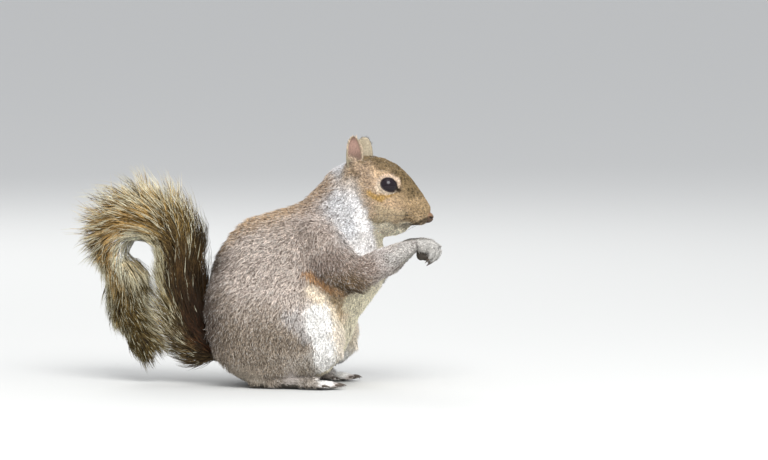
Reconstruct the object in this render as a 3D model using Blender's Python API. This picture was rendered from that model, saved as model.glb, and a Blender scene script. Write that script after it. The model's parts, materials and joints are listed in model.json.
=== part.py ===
"""An eastern grey squirrel, life size, sitting up on its haunches with both hands held to its mouth.

The frame: +X is where the squirrel faces, +Y its left side, +Z up. The origin lies on the floor, under
the middle of the whole animal. Every size below is in millimetres and is the size over the coat.
The body is first modelled whole, out of lofts and blobs that a voxel remesh fuses, and is then parted
into named pieces by thin cuts. The tail's brush, the ears, the hands and the feet are modelled apart.
"""
import math

import bmesh
import bpy
from mathutils import Matrix, Vector

MM = 0.001
GAP = 0.3  # the thin cut between neighbouring pieces
SIDES = {"left": 1, "right": -1}
MIDDLE_X = 0.95  # the sizes below are measured from this far behind the middle of the whole animal

# ---- driving sizes -------------------------------------------------------------------------------

# Sections of the trunk from the seat up to the neck, each (back x, back z, belly x, belly z, half width).
TRUNK = [
    (-6, 4, 34, 2, 20),
    (-20, 18, 52, 9, 31),
    (-28, 40, 64, 26, 37),
    (-29, 64, 72, 45, 38),
    (-23, 87, 81, 57, 34.5),
    (-7, 107, 87, 68, 31),
    (13, 114.5, 89, 80, 27),
    (31, 120.5, 88, 91, 23.5),
    (43.5, 131.5, 87, 97, 20.5),
    (53.5, 143, 86, 101, 18),
    (66, 149, 86, 108, 15),
]
# Sections of the skull and upper muzzle, from the nape to the nose, each
# (top x, top z, under x, under z, half width).
SKULL = [
    (60, 143, 72, 116, 12),
    (68, 150.5, 80, 107, 18),
    (79, 152, 89, 103, 20),
    (90, 149.5, 97, 104, 19),
    (100, 143.5, 104, 105.5, 14),
    (108, 135, 109, 106, 10.3),
    (114.5, 126, 113, 106.3, 8),
    (119, 118.5, 116.5, 107, 5.6),
    (121.2, 114, 118.5, 109, 3),
]
# Sections of the lower jaw, from the throat to the chin.
JAW = [
    (82, 112, 84, 98.5, 10),
    (90, 110, 90, 98, 9),
    (97, 107.5, 96, 98.8, 6.6),
    (101.5, 106, 101, 100.8, 4.6),
    (104, 105, 104, 102.6, 2.4),
]
CHEEK_AT, CHEEK_RADII = (90, 11, 115), (12, 9.5, 12)
WHISKER_PAD_AT, WHISKER_PAD_RADII = (110, 4.6, 111.5), (7.5, 4.8, 5.6)
BROW_AT, BROW_RADII = (92, 10, 140.5), (8, 5.6, 4.4)
EAR_ROOT_AT, EAR_ROOT_RADII = (70, 11.5, 143), (8.5, 5.5, 7)
NOSE_AT, NOSE_RADII = (119.2, 0, 111.6), (3.0, 3.9, 3.0)

EYE_AT, EYE_RADIUS = (92.6, 13.3, 133), 6.3

# The ear: where its base sits, which way it stands and opens, and its outline.
EAR_BASE = (71, 11.5, 141.5)
EAR_AXIS = (0.0, 0.27, 1.0)
EAR_OPENS = (0.6, 0.8, 0.1)
EAR_HEIGHT, EAR_HALF_WIDTH, EAR_BASE_SHARE, EAR_CUP, EAR_WALL = 24.5, 7.8, 0.6, 4.6, 1.3

# Limb sections along their middle line: (x, out from the middle plane, z, half height, half width).
UPPER_ARM = [
    (38, 14, 104, 12, 9),
    (44, 19.5, 97, 19, 10.5),
    (54, 24, 84, 20, 11.5),
    (65, 27, 73.5, 16.5, 11.5),
    (73, 27.5, 68.5, 12.5, 10),
]
FOREARM = [
    (64, 27, 70, 9, 8.5),
    (73, 27, 71, 12, 10.5),
    (84, 24, 79, 11.5, 9.2),
    (94, 19.5, 86, 8.8, 7.6),
    (103, 14.5, 91, 6, 5.8),
    (110, 10.5, 93.4, 4.4, 4.8),
    (114, 8.6, 94, 3.6, 4.2),
]
THIGH_AT, THIGH_RADII = (19, 27, 37.5), (45.5, 17.5, 38)
HIP_AT, HIP_RADII = (-2, 16, 50), (28, 20, 34)
KNEE_AT, KNEE_RADII = (52, 28, 34), (15.5, 12.5, 18)
SHANK = [
    (60, 29, 33, 12, 9),
    (50, 31, 26, 14, 11),
    (34, 32, 19, 13, 10.5),
    (16, 32, 13, 10.5, 9),
    (7, 31, 10, 7.5, 7),
]

# The hind foot's sole line, and its five toes as (root x, root out, tip x, tip out, radius).
FOOT = [
    (2, 30, 5, 4.2, 4.2),
    (7, 30, 5.8, 6.4, 6.2),
    (18, 30.5, 6, 6.6, 6.8),
    (32, 31, 5.4, 6, 7.2),
    (42, 32, 4.6, 5.2, 8),
    (48, 32.4, 3.8, 4.2, 7.4),
]
TOES = [
    (38, 26.4, 50, 22.5, 2.2),
    (45, 28.6, 61, 25.8, 2.4),
    (47, 31.6, 63.5, 31.2, 2.5),
    (46, 34.8, 62, 36.6, 2.5),
    (41, 37.6, 54, 41.2, 2.3),
]
CLAW_RADIUS, CLAW_LENGTH = 0.85, 4.6

# The hand: its palm, and four fingers as (root out, tip out, reach forward, length down).
PALM_AT, PALM_RADII = (115.8, 7.4, 92.6), (6.4, 5.2, 4.9)
FINGER_ROOT_X, FINGER_ROOT_Z, FINGER_RADIUS = 118, 94.5, 1.75
FINGERS = [
    (11.2, 10.0, 3.6, 9.5),
    (8.9, 7.8, 5.8, 11.5),
    (6.4, 5.4, 6.2, 11.5),
    (4.1, 3.2, 4.4, 9.0),
]
FINGER_CLAW_LENGTH = 3.4

# The tail's bone line and the reach of its brush: (x, z, inside the bend, outside the bend, sideways).
TAIL = [
    (-20, 18.5, 15, 11, 13),
    (-31, 22, 22, 12, 17),
    (-38.5, 33.5, 25, 12.5, 20),
    (-43.5, 49, 25, 13, 22),
    (-48, 67, 23, 14.5, 23.5),
    (-51.2, 84, 19, 20.5, 25),
    (-57.5, 97.5, 12, 30.5, 26),
    (-68, 105, 9, 35, 26.5),
    (-80.5, 105, 8.5, 33.5, 26.5),
    (-91, 98.5, 8, 36, 25.5),
    (-94.5, 87.5, 9, 25.5, 23.5),
    (-91.5, 73.5, 10, 11.5, 20),
    (-88, 60, 14, 11.5, 17.5),
    (-84, 48, 11.5, 14.5, 15),
    (-79.5, 38, 10, 14.5, 11.5),
    (-75, 29.5, 5, 8, 6),
]
# Where the tail is parted, as places along TAIL's sections.
TAIL_PARTS = [
    ("tail_root", 0.0, 3.5),
    ("tail_rise", 3.5, 5.6),
    ("tail_arch", 5.6, 8.5),
    ("tail_turn", 8.5, 11.0),
    ("tail_tip", 11.0, 15.0),
]
TAIL_SIDES, TAIL_STEPS = 12, 3

# The cuts that part the body. HEAD_CUT and NECK_CUT are outlines in side view, as (x, z).
HEAD_CUT = [(78, 99), (92, 97), (103, 99.5), (128, 103), (128, 160), (52, 160), (60, 136)]
NECK_CUT = [(61, 88), (95, 88), (95, 110), (70, 155), (40, 155), (30, 130)]
ELBOW, WRIST = (77, 26.5, 75), (109.5, 10.8, 93.2)
FOREARM_CUT_HEIGHT, FOREARM_CUT_WIDTH = 12.5, 11.5
SHOULDER_CUT_AT, SHOULDER_CUT_RADII = (56, 36, 85), (30, 25, 34)
HAUNCH_CUT_AT, HAUNCH_CUT_RADII = (20, 46, 37), (51, 32, 43)
KNEE_LINE_Z = 21  # the haunch above this height is the thigh, and below it the shank

BODY_VOXEL, BODY_SMOOTHING, BODY_TRIANGLES = 1.5, 6, 2100
FINE_VOXEL, FINE_SMOOTHING = 0.55, 2
HAND_TRIANGLES, FOOT_TRIANGLES = 380, 340

COLOURS = {  # base colour and roughness
    "coat_grey": ((0.42, 0.36, 0.31), 0.85),
    "coat_face": ((0.47, 0.36, 0.24), 0.85),
    "coat_pale": ((0.66, 0.63, 0.59), 0.85),
    "brush": ((0.16, 0.12, 0.07), 0.9),
    "bare_skin": ((0.5, 0.33, 0.28), 0.6),
    "nose_skin": ((0.12, 0.07, 0.04), 0.45),
    "eye": ((0.015, 0.01, 0.01), 0.08),
}


# ---- tools ---------------------------------------------------------------------------------------

def material(name):
    """The finish of that name, made once."""
    found = bpy.data.materials.get(name)
    if found:
        return found
    colour, roughness = COLOURS[name]
    made = bpy.data.materials.new(name)
    made.use_nodes = True
    shader = made.node_tree.nodes["Principled BSDF"]
    shader.inputs["Base Color"].default_value = (*colour, 1)
    shader.inputs["Roughness"].default_value = roughness
    return made


def object_of(name, mesh):
    made = bpy.data.objects.new(name, mesh)
    bpy.context.scene.collection.objects.link(made)
    return made


def faces_out(shape, mesh):
    """Writes a closed bmesh to mesh with its faces turned outwards."""
    bmesh.ops.recalc_face_normals(shape, faces=shape.faces)
    if shape.calc_volume(signed=True) < 0:
        bmesh.ops.reverse_faces(shape, faces=shape.faces)
    shape.to_mesh(mesh)
    shape.free()


def mesh_object(name, shape):
    mesh = bpy.data.meshes.new(name)
    faces_out(shape, mesh)
    return object_of(name, mesh)


def evaluated(source, name):
    """A plain mesh object of what source's modifiers give; source is removed."""
    graph = bpy.context.evaluated_depsgraph_get()
    mesh = bpy.data.meshes.new_from_object(source.evaluated_get(graph))
    bpy.data.objects.remove(source)
    return object_of(name, mesh)


def through(points, place):
    """The value at a place along a list of tuples, on a smooth curve through them (Catmull-Rom)."""
    last = len(points) - 1
    at = min(int(place), last - 1)
    t = place - at
    before, start, end, after = (points[min(max(at + step, 0), last)] for step in (-1, 0, 1, 2))
    return [
        b + 0.5 * t * (c - a + t * (2 * a - 5 * b + 4 * c - d + t * (3 * (b - c) + d - a)))
        for a, b, c, d in zip(before, start, end, after)
    ]


def ring(shape, centre, side, up, half_width, above, below, sides):
    """A closed section: half_width to either side, above and below its centre by their own reach."""
    points = []
    for number in range(sides):
        angle = math.tau * number / sides
        rise = math.sin(angle) * (above if math.sin(angle) > 0 else below)
        points.append(shape.verts.new((centre + side * half_width * math.cos(angle) + up * rise) * MM))
    return points


def skinned(name, rings_of, count):
    """A closed tube through count rings, with a flat cap on each end."""
    shape = bmesh.new()
    rings = [rings_of(shape, number) for number in range(count)]
    for first, second in zip(rings, rings[1:]):
        for number, vertex in enumerate(first):
            beside = (number + 1) % len(first)
            shape.faces.new((vertex, first[beside], second[beside], second[number]))
    shape.faces.new(rings[0])
    shape.faces.new(rings[-1])
    return mesh_object(name, shape)


def profile_loft(name, sections, sides=28, steps=3):
    """A body form on the middle plane, through sections (top x, top z, under x, under z, half width)."""
    count = (len(sections) - 1) * steps + 1

    def rings_of(shape, number):
        top_x, top_z, under_x, under_z, half_width = through(sections, number / steps)
        top, under = Vector((top_x, 0, top_z)), Vector((under_x, 0, under_z))
        up = (top - under).normalized()
        reach = (top - under).length / 2
        return ring(shape, (top + under) / 2, Vector((0, 1, 0)), up, half_width, reach, reach, sides)

    return skinned(name, rings_of, count)


def line_loft(name, sections, hand=1, sides=16, steps=3):
    """A limb along its own middle line, through sections (x, out, z, half height, half width)."""
    count = (len(sections) - 1) * steps + 1

    def centre(place):
        x, out, z = through(sections, place)[:3]
        return Vector((x, hand * out, z))

    def rings_of(shape, number):
        place = number / steps
        tiny = 0.05
        ahead = centre(min(place + tiny, len(sections) - 1)) - centre(max(place - tiny, 0))
        side = ahead.cross(Vector((0, 0, 1))).normalized()
        up = side.cross(ahead).normalized()
        half_height, half_width = through(sections, place)[3:]
        return ring(shape, centre(place), side, up, half_width, half_height, half_height, sides)

    return skinned(name, rings_of, count)


def blob(name, centre, radii, segments=16, grow=0.0):
    """An ellipsoid."""
    shape = bmesh.new()
    bmesh.ops.create_uvsphere(shape, u_segments=segments, v_segments=segments // 2, radius=1)
    sizes = [(radius + grow) * MM for radius in radii]
    bmesh.ops.scale(shape, vec=sizes, verts=shape.verts)
    bmesh.ops.translate(shape, vec=Vector(centre) * MM, verts=shape.verts)
    return mesh_object(name, shape)


def half_space(name, point, faces, grow=0.0, size=300):
    """A block whose one face passes through the point; it fills the side that faces points to."""
    direction = Vector(faces).normalized()
    shape = bmesh.new()
    bmesh.ops.create_cube(shape, size=size * MM)
    turn = direction.to_track_quat("Z", "Y").to_matrix().to_4x4()
    middle = (Vector(point) + direction * (size / 2 - grow)) * MM
    bmesh.ops.transform(shape, matrix=Matrix.Translation(middle) @ turn, verts=shape.verts)
    return mesh_object(name, shape)


def prism(name, outline, grow=0.0, half_depth=80):
    """A block seen from the side as the outline, its sides moved outwards by grow, across the whole body."""
    count = len(outline)
    corners = []
    for number in range(count):
        before, here, after = (Vector(outline[(number + step) % count]) for step in (-1, 0, 1))
        first, second = (here - before).normalized(), (after - here).normalized()
        first_out, second_out = Vector((first.y, -first.x)), Vector((second.y, -second.x))
        mitre = (first_out + second_out) / (1 + first_out.dot(second_out))
        corners.append(here + mitre * grow)
    shape = bmesh.new()
    near = [shape.verts.new(Vector((x, -half_depth, z)) * MM) for x, z in corners]
    face = shape.faces.new(near)
    moved = bmesh.ops.extrude_face_region(shape, geom=[face])["geom"]
    away = [item for item in moved if isinstance(item, bmesh.types.BMVert)]
    bmesh.ops.translate(shape, vec=Vector((0, 2 * half_depth, 0)) * MM, verts=away)
    return mesh_object(name, shape)


def bar(name, start, end, half_height, half_width, grow=0.0):
    """A straight square bar from start to end."""
    start, end = Vector(start), Vector(end)
    ahead = (end - start).normalized()
    side = ahead.cross(Vector((0, 0, 1))).normalized()
    up = side.cross(ahead)
    shape = bmesh.new()
    bmesh.ops.create_cube(shape, size=2)
    sizes = ((end - start).length / 2 + grow, half_width + grow, half_height + grow)
    turn = Matrix((ahead, side, up)).transposed().to_4x4()
    place = Matrix.Translation((start + end) / 2 * MM) @ turn @ Matrix.Diagonal(Vector(sizes) * MM).to_4x4()
    bmesh.ops.transform(shape, matrix=place, verts=shape.verts)
    return mesh_object(name, shape)


def mirrored(at, hand):
    return (at[0], at[1] * hand, at[2])


def boolean(target, other, operation):
    """target cut, kept or joined by other, as a plain mesh under target's own name."""
    name = target.name
    modifier = target.modifiers.new(operation.lower(), "BOOLEAN")
    modifier.operation = operation
    modifier.object = other
    target.name = name + ".before"
    return evaluated(target, name)


def copy_of(source, name):
    return object_of(name, source.data.copy())


def largest_piece(target):
    """Drops the crumbs that a cut can leave beside the main body."""
    shape = bmesh.new()
    shape.from_mesh(target.data)
    islands, seen = [], set()
    for start in shape.verts:
        if start in seen:
            continue
        island, queue = [], [start]
        seen.add(start)
        while queue:
            vertex = queue.pop()
            island.append(vertex)
            for edge in vertex.link_edges:
                other = edge.other_vert(vertex)
                if other not in seen:
                    seen.add(other)
                    queue.append(other)
        islands.append(island)
    islands.sort(key=len)
    for island in islands[:-1]:
        bmesh.ops.delete(shape, geom=island, context="VERTS")
    shape.to_mesh(target.data)
    shape.free()
    return target


def fused(name, pieces, voxel, smoothing, triangles):
    """One smooth closed body made of overlapping pieces, thinned to about that many triangles."""
    shape = bmesh.new()
    for piece in pieces:
        shape.from_mesh(piece.data)
        bpy.data.objects.remove(piece)
    body = mesh_object(name + ".raw", shape)
    remesh = body.modifiers.new("fuse", "REMESH")
    remesh.mode = "VOXEL"
    remesh.voxel_size = voxel * MM
    smooth = body.modifiers.new("smooth", "SMOOTH")
    smooth.factor = 0.5
    smooth.iterations = smoothing
    body = evaluated(body, name + ".fused")
    thin = body.modifiers.new("thin", "DECIMATE")
    thin.ratio = triangles / sum(len(face.vertices) - 2 for face in body.data.polygons)
    return evaluated(body, name)


def parted(body, cutter, name):
    """Cuts the piece that cutter holds out of body: cutter(grow) makes the cutting solid. Gives both."""
    tight, wide = cutter(0.0), cutter(GAP)
    piece = boolean(copy_of(body, name), tight, "INTERSECT")
    rest = boolean(body, wide, "DIFFERENCE")
    bpy.data.objects.remove(tight)
    bpy.data.objects.remove(wide)
    return rest, largest_piece(piece)


def stood_on_floor(target):
    """Cuts off what reaches below the floor, which leaves a small flat there."""
    ground = half_space("ground", (0, 0, 0), (0, 0, -1))
    target = boolean(target, ground, "DIFFERENCE")
    bpy.data.objects.remove(ground)
    return target


def finished(target, finish):
    """Gives a piece its material and smooth shading with sharp cut edges."""
    shape = bmesh.new()
    shape.from_mesh(target.data)
    faces_out(shape, target.data)
    target.data.materials.clear()
    target.data.materials.append(material(finish))
    target.data.shade_smooth()
    target.data.set_sharp_from_angle(angle=math.radians(50))
    return target


# ---- the body, whole -----------------------------------------------------------------------------

def whole_body():
    """Trunk, neck, head, arms to the wrist and folded hind legs, fused into one form."""
    forms = [
        profile_loft("trunk form", TRUNK, sides=40),
        profile_loft("skull form", SKULL),
        profile_loft("jaw form", JAW),
    ]
    for hand in SIDES.values():
        for at, radii in (
            (CHEEK_AT, CHEEK_RADII),
            (WHISKER_PAD_AT, WHISKER_PAD_RADII),
            (BROW_AT, BROW_RADII),
            (EAR_ROOT_AT, EAR_ROOT_RADII),
            (THIGH_AT, THIGH_RADII),
            (HIP_AT, HIP_RADII),
            (KNEE_AT, KNEE_RADII),
        ):
            forms.append(blob("form", mirrored(at, hand), radii))
        forms.append(line_loft("upper arm form", UPPER_ARM, hand))
        forms.append(line_loft("forearm form", FOREARM, hand))
        forms.append(line_loft("shank form", SHANK, hand))
    return stood_on_floor(fused("body", forms, BODY_VOXEL, BODY_SMOOTHING, BODY_TRIANGLES))


# ---- hands and feet ------------------------------------------------------------------------------

def claw(name, root, tip_line, length):
    """A tapered hook that bends down from the end of a digit."""
    start, ahead = Vector(root), Vector(tip_line).normalized()
    sections = [
        (*(start + ahead * (length * share) + Vector((0, 0, -0.9 * share * share))), size, size)
        for share, size in ((-0.3, CLAW_RADIUS), (0.3, CLAW_RADIUS), (0.75, 0.5), (1.0, 0.3))
    ]
    return line_loft(name, sections, sides=8, steps=2)


def digit(name, joints, radius):
    """A finger or toe along its joints, with a fuller pad at its end."""
    sizes = [radius * share for share in (1.05, 0.92, 1.1, 0.6)]
    return line_loft(name, [(*joint, size, size) for joint, size in zip(joints, sizes)], sides=10)


def hand_forms(hand):
    forms = [blob("palm", mirrored(PALM_AT, hand), PALM_RADII)]
    wrist = [(107, 12, 92.6, 4, 4.4), (112, 9.6, 93.2, 4.4, 4.7), (116, 8, 93, 4, 4.4)]
    forms.append(line_loft("wrist", wrist, hand))
    for root_out, tip_out, reach, drop in FINGERS:
        middle_out = (root_out + tip_out) / 2
        joints = [
            (FINGER_ROOT_X - 1, hand * root_out, FINGER_ROOT_Z),
            (FINGER_ROOT_X + reach, hand * middle_out, FINGER_ROOT_Z - drop * 0.25),
            (FINGER_ROOT_X + reach * 0.75, hand * tip_out, FINGER_ROOT_Z - drop * 0.75),
            (FINGER_ROOT_X + reach * 0.3, hand * tip_out, FINGER_ROOT_Z - drop),
        ]
        forms.append(digit("finger", joints, FINGER_RADIUS))
        forms.append(claw("claw", joints[3], (-0.75, 0, -0.66), FINGER_CLAW_LENGTH))
    return forms


def foot_forms(hand):
    forms = [line_loft("sole", FOOT, hand)]
    for root_x, root_out, tip_x, tip_out, radius in TOES:
        joints = [
            (root_x - 4, hand * root_out, radius + 1.2),
            (root_x + 2, hand * root_out, radius + 1.6),
            ((root_x + tip_x) / 2 + 2, hand * (root_out + tip_out) / 2, radius + 0.6),
            (tip_x, hand * tip_out, radius - 0.1),
        ]
        forms.append(digit("toe", joints, radius))
        forms.append(claw("claw", joints[3], (0.97, 0.1 * hand, 0.12), CLAW_LENGTH))
    return forms


# ---- ears, eyes and nose -------------------------------------------------------------------------

def ear(name, hand):
    """A scoop with an open front: rows climb its axis, columns run round the cup from rim to rim."""
    axis = Vector(mirrored(EAR_AXIS, hand)).normalized()
    opens = Vector(mirrored(EAR_OPENS, hand))
    opens = (opens - axis * opens.dot(axis)).normalized()
    across = axis.cross(opens)
    rows, columns = 7, 6
    shape = bmesh.new()
    grid = []
    for row in range(rows + 1):
        climb = 1 - (1 - row / rows) ** 1.5
        swell = EAR_BASE_SHARE + (1 - EAR_BASE_SHARE) * math.sin(math.pi * min(climb, 0.5))
        outline = swell * math.sqrt(max(0.0, 1 - climb**3.6))
        cup = EAR_CUP * (1 - 0.55 * climb)
        middle = Vector(mirrored(EAR_BASE, hand)) + axis * (EAR_HEIGHT * climb * (1 - 0.02 * climb))
        line = []
        for column in range(columns + 1):
            angle = math.pi * (column / columns - 0.5)
            width = EAR_HALF_WIDTH * max(outline, 0.16)
            point = middle + across * (width * math.sin(angle)) - opens * (cup * math.cos(angle))
            line.append(shape.verts.new(point * MM))
        grid.append(line)
    for lower, upper in zip(grid, grid[1:]):
        for number in range(columns):
            shape.faces.new((lower[number], lower[number + 1], upper[number + 1], upper[number]))
    pinna = mesh_object(name, shape)
    wall = pinna.modifiers.new("wall", "SOLIDIFY")
    wall.thickness = EAR_WALL * MM
    wall.offset = 0
    return evaluated(pinna, name)


def grown(source, name, by):
    """A copy of a closed body swollen outwards."""
    swollen = copy_of(source, name)
    for vertex, normal in zip(swollen.data.vertices, [v.normal.copy() for v in source.data.vertices]):
        vertex.co = vertex.co + normal * by * MM
    return swollen


# ---- the tail ------------------------------------------------------------------------------------

def tail_length(name, start, end):
    """One length of the brush, between two places along TAIL. Its ends are flat, half a gap short."""
    sections = [(x, 0, z, inside, outside, sideways) for x, z, inside, outside, sideways in TAIL]
    count = max(2, round((end - start) * TAIL_STEPS)) + 1

    def centre(place):
        return Vector(through(sections, place)[:3])

    def rings_of(shape, number):
        place = start + (end - start) * number / (count - 1)
        tiny = 0.02
        ahead = (centre(min(place + tiny, end + tiny)) - centre(place - tiny)).normalized()
        side = Vector((0, 1, 0))
        inwards = ahead.cross(side).normalized()
        inside, outside, sideways = through(sections, place)[3:]
        shift = {0: GAP / 2, count - 1: -GAP / 2}.get(number, 0)
        middle = centre(place) + ahead * shift
        return ring(shape, middle, side, inwards, sideways, inside, outside, TAIL_SIDES)

    return skinned(name, rings_of, count)


# ---- assembly ------------------------------------------------------------------------------------

def kept_off(target, others):
    """target with a thin gap cut round each of the others."""
    for other in others:
        swollen = grown(other, "swollen", GAP)
        target = boolean(target, swollen, "DIFFERENCE")
        bpy.data.objects.remove(swollen)
    return largest_piece(target)


def eyes_and_nose(head):
    """The eyeballs and the nose pad, each in its own socket."""
    for side, hand in SIDES.items():
        at = mirrored(EYE_AT, hand)
        socket = blob("socket", at, (EYE_RADIUS,) * 3, grow=GAP)
        head = boolean(head, socket, "DIFFERENCE")
        bpy.data.objects.remove(socket)
        finished(blob("eye_" + side, at, (EYE_RADIUS,) * 3), "eye")
    head, nose = parted(head, lambda grow: blob("cut", NOSE_AT, NOSE_RADII, grow=grow), "nose")
    finished(nose, "nose_skin")
    return head


def feet(body):
    """The hind feet, which the folded leg and its coat rest on."""
    for side, hand in SIDES.items():
        foot = fused("foot_" + side, foot_forms(hand), FINE_VOXEL, FINE_SMOOTHING, FOOT_TRIANGLES)
        foot = largest_piece(stood_on_floor(foot))
        body = kept_off(body, [foot])
        finished(foot, "coat_pale")
    return body


def arms(body):
    """Forearm and upper arm come off the body, and the hand meets the forearm at the wrist."""
    for side, hand in SIDES.items():
        elbow, wrist = mirrored(ELBOW, hand), mirrored(WRIST, hand)

        def forearm_bar(grow):
            return bar("cut", elbow, wrist, FOREARM_CUT_HEIGHT, FOREARM_CUT_WIDTH, grow)

        body, forearm = parted(body, forearm_bar, "forearm_" + side)
        body = largest_piece(body)
        whole_hand = fused("hand_" + side, hand_forms(hand), FINE_VOXEL, FINE_SMOOTHING, HAND_TRIANGLES)
        cutter = forearm_bar(GAP)
        whole_hand = largest_piece(boolean(whole_hand, cutter, "DIFFERENCE"))
        bpy.data.objects.remove(cutter)
        body, upper = parted(
            body,
            lambda grow: blob("cut", mirrored(SHOULDER_CUT_AT, hand), SHOULDER_CUT_RADII, 16, grow),
            "upper_arm_" + side,
        )
        for piece in (forearm, upper):
            finished(piece, "coat_grey")
        finished(whole_hand, "coat_pale")
    return body


def hind_legs(body):
    """The haunch comes off the trunk in one cut, and a level cut parts thigh from shank."""
    for side, hand in SIDES.items():
        body, haunch = parted(
            body,
            lambda grow: blob("cut", mirrored(HAUNCH_CUT_AT, hand), HAUNCH_CUT_RADII, 16, grow),
            "thigh_" + side,
        )
        thigh, shank = parted(
            haunch, lambda grow: half_space("cut", (0, 0, KNEE_LINE_Z), (0, 0, -1), grow), "shank_" + side
        )
        finished(thigh, "coat_grey")
        finished(shank, "coat_grey")
    return body


def build():
    for old in list(bpy.data.objects):
        bpy.data.objects.remove(old)

    body = whole_body()
    body, head = parted(body, lambda grow: prism("cut", HEAD_CUT, grow), "head")
    head = eyes_and_nose(head)
    body = feet(body)
    body = arms(body)
    body = hind_legs(body)
    trunk, neck = parted(body, lambda grow: prism("cut", NECK_CUT, grow), "neck")
    trunk = largest_piece(trunk)
    trunk.name = "trunk"

    for side, hand in SIDES.items():
        pinna = kept_off(ear("ear_" + side, hand), [head, neck])
        finished(pinna, "bare_skin")
    for name, start, end in TAIL_PARTS:
        length = stood_on_floor(tail_length(name, start, end))
        if start == 0:
            length = kept_off(length, [trunk])
        finished(length, "brush")
    finished(head, "coat_face")
    finished(neck, "coat_grey")
    finished(trunk, "coat_grey")
    for piece in bpy.data.objects:
        piece.data.transform(Matrix.Translation((-MIDDLE_X * MM, 0, 0)))


build()
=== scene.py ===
# %% [markdown]
# # An eastern grey squirrel, life size
#
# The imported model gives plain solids: the outline of the squirrel over its coat, parted into head, neck,
# trunk, limbs and lengths of tail. This lesson dresses them. One skin goes inside the flesh solids, and
# tens of thousands of small solid tufts grow out of it until their tips fill the outline again. Everything
# below is in metres, unless a table says millimetres, in the frame of the solids: the squirrel faces +X,
# its left is +Y, and it sits on the floor at Z = 0.

# %% Load the frame
import json
import math

import bmesh
import bpy
import numpy as np
from mathutils import Matrix, Vector

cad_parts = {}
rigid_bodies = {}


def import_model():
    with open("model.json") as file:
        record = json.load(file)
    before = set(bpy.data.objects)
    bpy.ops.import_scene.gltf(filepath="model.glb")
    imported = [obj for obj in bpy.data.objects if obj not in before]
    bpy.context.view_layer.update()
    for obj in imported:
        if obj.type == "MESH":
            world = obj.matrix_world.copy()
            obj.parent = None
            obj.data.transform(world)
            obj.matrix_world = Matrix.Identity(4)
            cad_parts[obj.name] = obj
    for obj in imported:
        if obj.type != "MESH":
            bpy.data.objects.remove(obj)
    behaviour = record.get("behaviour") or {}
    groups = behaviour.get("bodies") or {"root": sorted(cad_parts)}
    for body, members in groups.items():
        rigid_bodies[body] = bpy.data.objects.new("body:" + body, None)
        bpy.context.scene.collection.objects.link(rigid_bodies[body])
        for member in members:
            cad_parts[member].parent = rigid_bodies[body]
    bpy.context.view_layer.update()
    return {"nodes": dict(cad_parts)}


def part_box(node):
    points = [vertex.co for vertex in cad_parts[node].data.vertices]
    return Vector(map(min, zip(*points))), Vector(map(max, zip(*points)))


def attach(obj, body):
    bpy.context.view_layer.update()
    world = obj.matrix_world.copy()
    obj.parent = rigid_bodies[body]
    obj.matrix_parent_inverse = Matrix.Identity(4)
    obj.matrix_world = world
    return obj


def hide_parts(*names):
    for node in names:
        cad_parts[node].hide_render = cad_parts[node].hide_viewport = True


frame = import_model()
MM = 0.001
SIDES = {"left": 1.0, "right": -1.0}
DENSITY = 1.0

# %% [markdown]
# ## Stage, light and camera
#
# A museum picture wants a plain pale floor and soft light. The animal is lit as under a bright sky, by
# four broad lamps: the key, high in front, gives the eye its highlight, the fill softens the shade, the rim
# edges the far side, and the ceiling lays a dim sheen over the top. A pale world lights the rest. The
# camera looks at the squirrel's right side, from a little in front and a little above, through a long lens,
# so that nothing is stretched.

# %% Stage, light and camera
VIEW_AZIMUTH, VIEW_ELEVATION = math.radians(9.0), math.radians(4.0)
VIEW_DISTANCE, VIEW_WIDTH, SENSOR = 5.0, 0.50688, 36.0
VIEW_RIGHT, VIEW_UP = 0.08577, 0.10164  # the picture's middle, measured from the frame's origin

scene = bpy.context.scene
scene.view_settings.view_transform = "Standard"


def shade(material, **values):
    """Sets sockets of a material's Principled BSDF, named with underscores for spaces."""
    shader = material.node_tree.nodes["Principled BSDF"]
    for name, value in values.items():
        shader.inputs[name.replace("_", " ")].default_value = value
    return shader


def new_material(name):
    material = bpy.data.materials.new(name)
    material.use_nodes = True
    return material


def link_object(name, data):
    made = bpy.data.objects.new(name, data)
    scene.collection.objects.link(made)
    return made


def mesh_from(name, shape):
    """A mesh made from a bmesh, which is freed."""
    mesh = bpy.data.meshes.new(name)
    shape.to_mesh(mesh)
    shape.free()
    return mesh


camera = link_object("camera", bpy.data.cameras.new("camera"))
back = Vector((
    math.sin(VIEW_AZIMUTH) * math.cos(VIEW_ELEVATION),
    -math.cos(VIEW_AZIMUTH) * math.cos(VIEW_ELEVATION),
    math.sin(VIEW_ELEVATION),
))
right = Vector((math.cos(VIEW_AZIMUTH), math.sin(VIEW_AZIMUTH), 0))
up = back.cross(right)
camera.location = right * VIEW_RIGHT + up * VIEW_UP + back * VIEW_DISTANCE
camera.rotation_mode = "QUATERNION"
camera.rotation_quaternion = (-back).to_track_quat("-Z", "Y")
camera.data.sensor_width = SENSOR
camera.data.lens = SENSOR * VIEW_DISTANCE / VIEW_WIDTH
camera.data.clip_end = 50
scene.camera = camera

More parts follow.
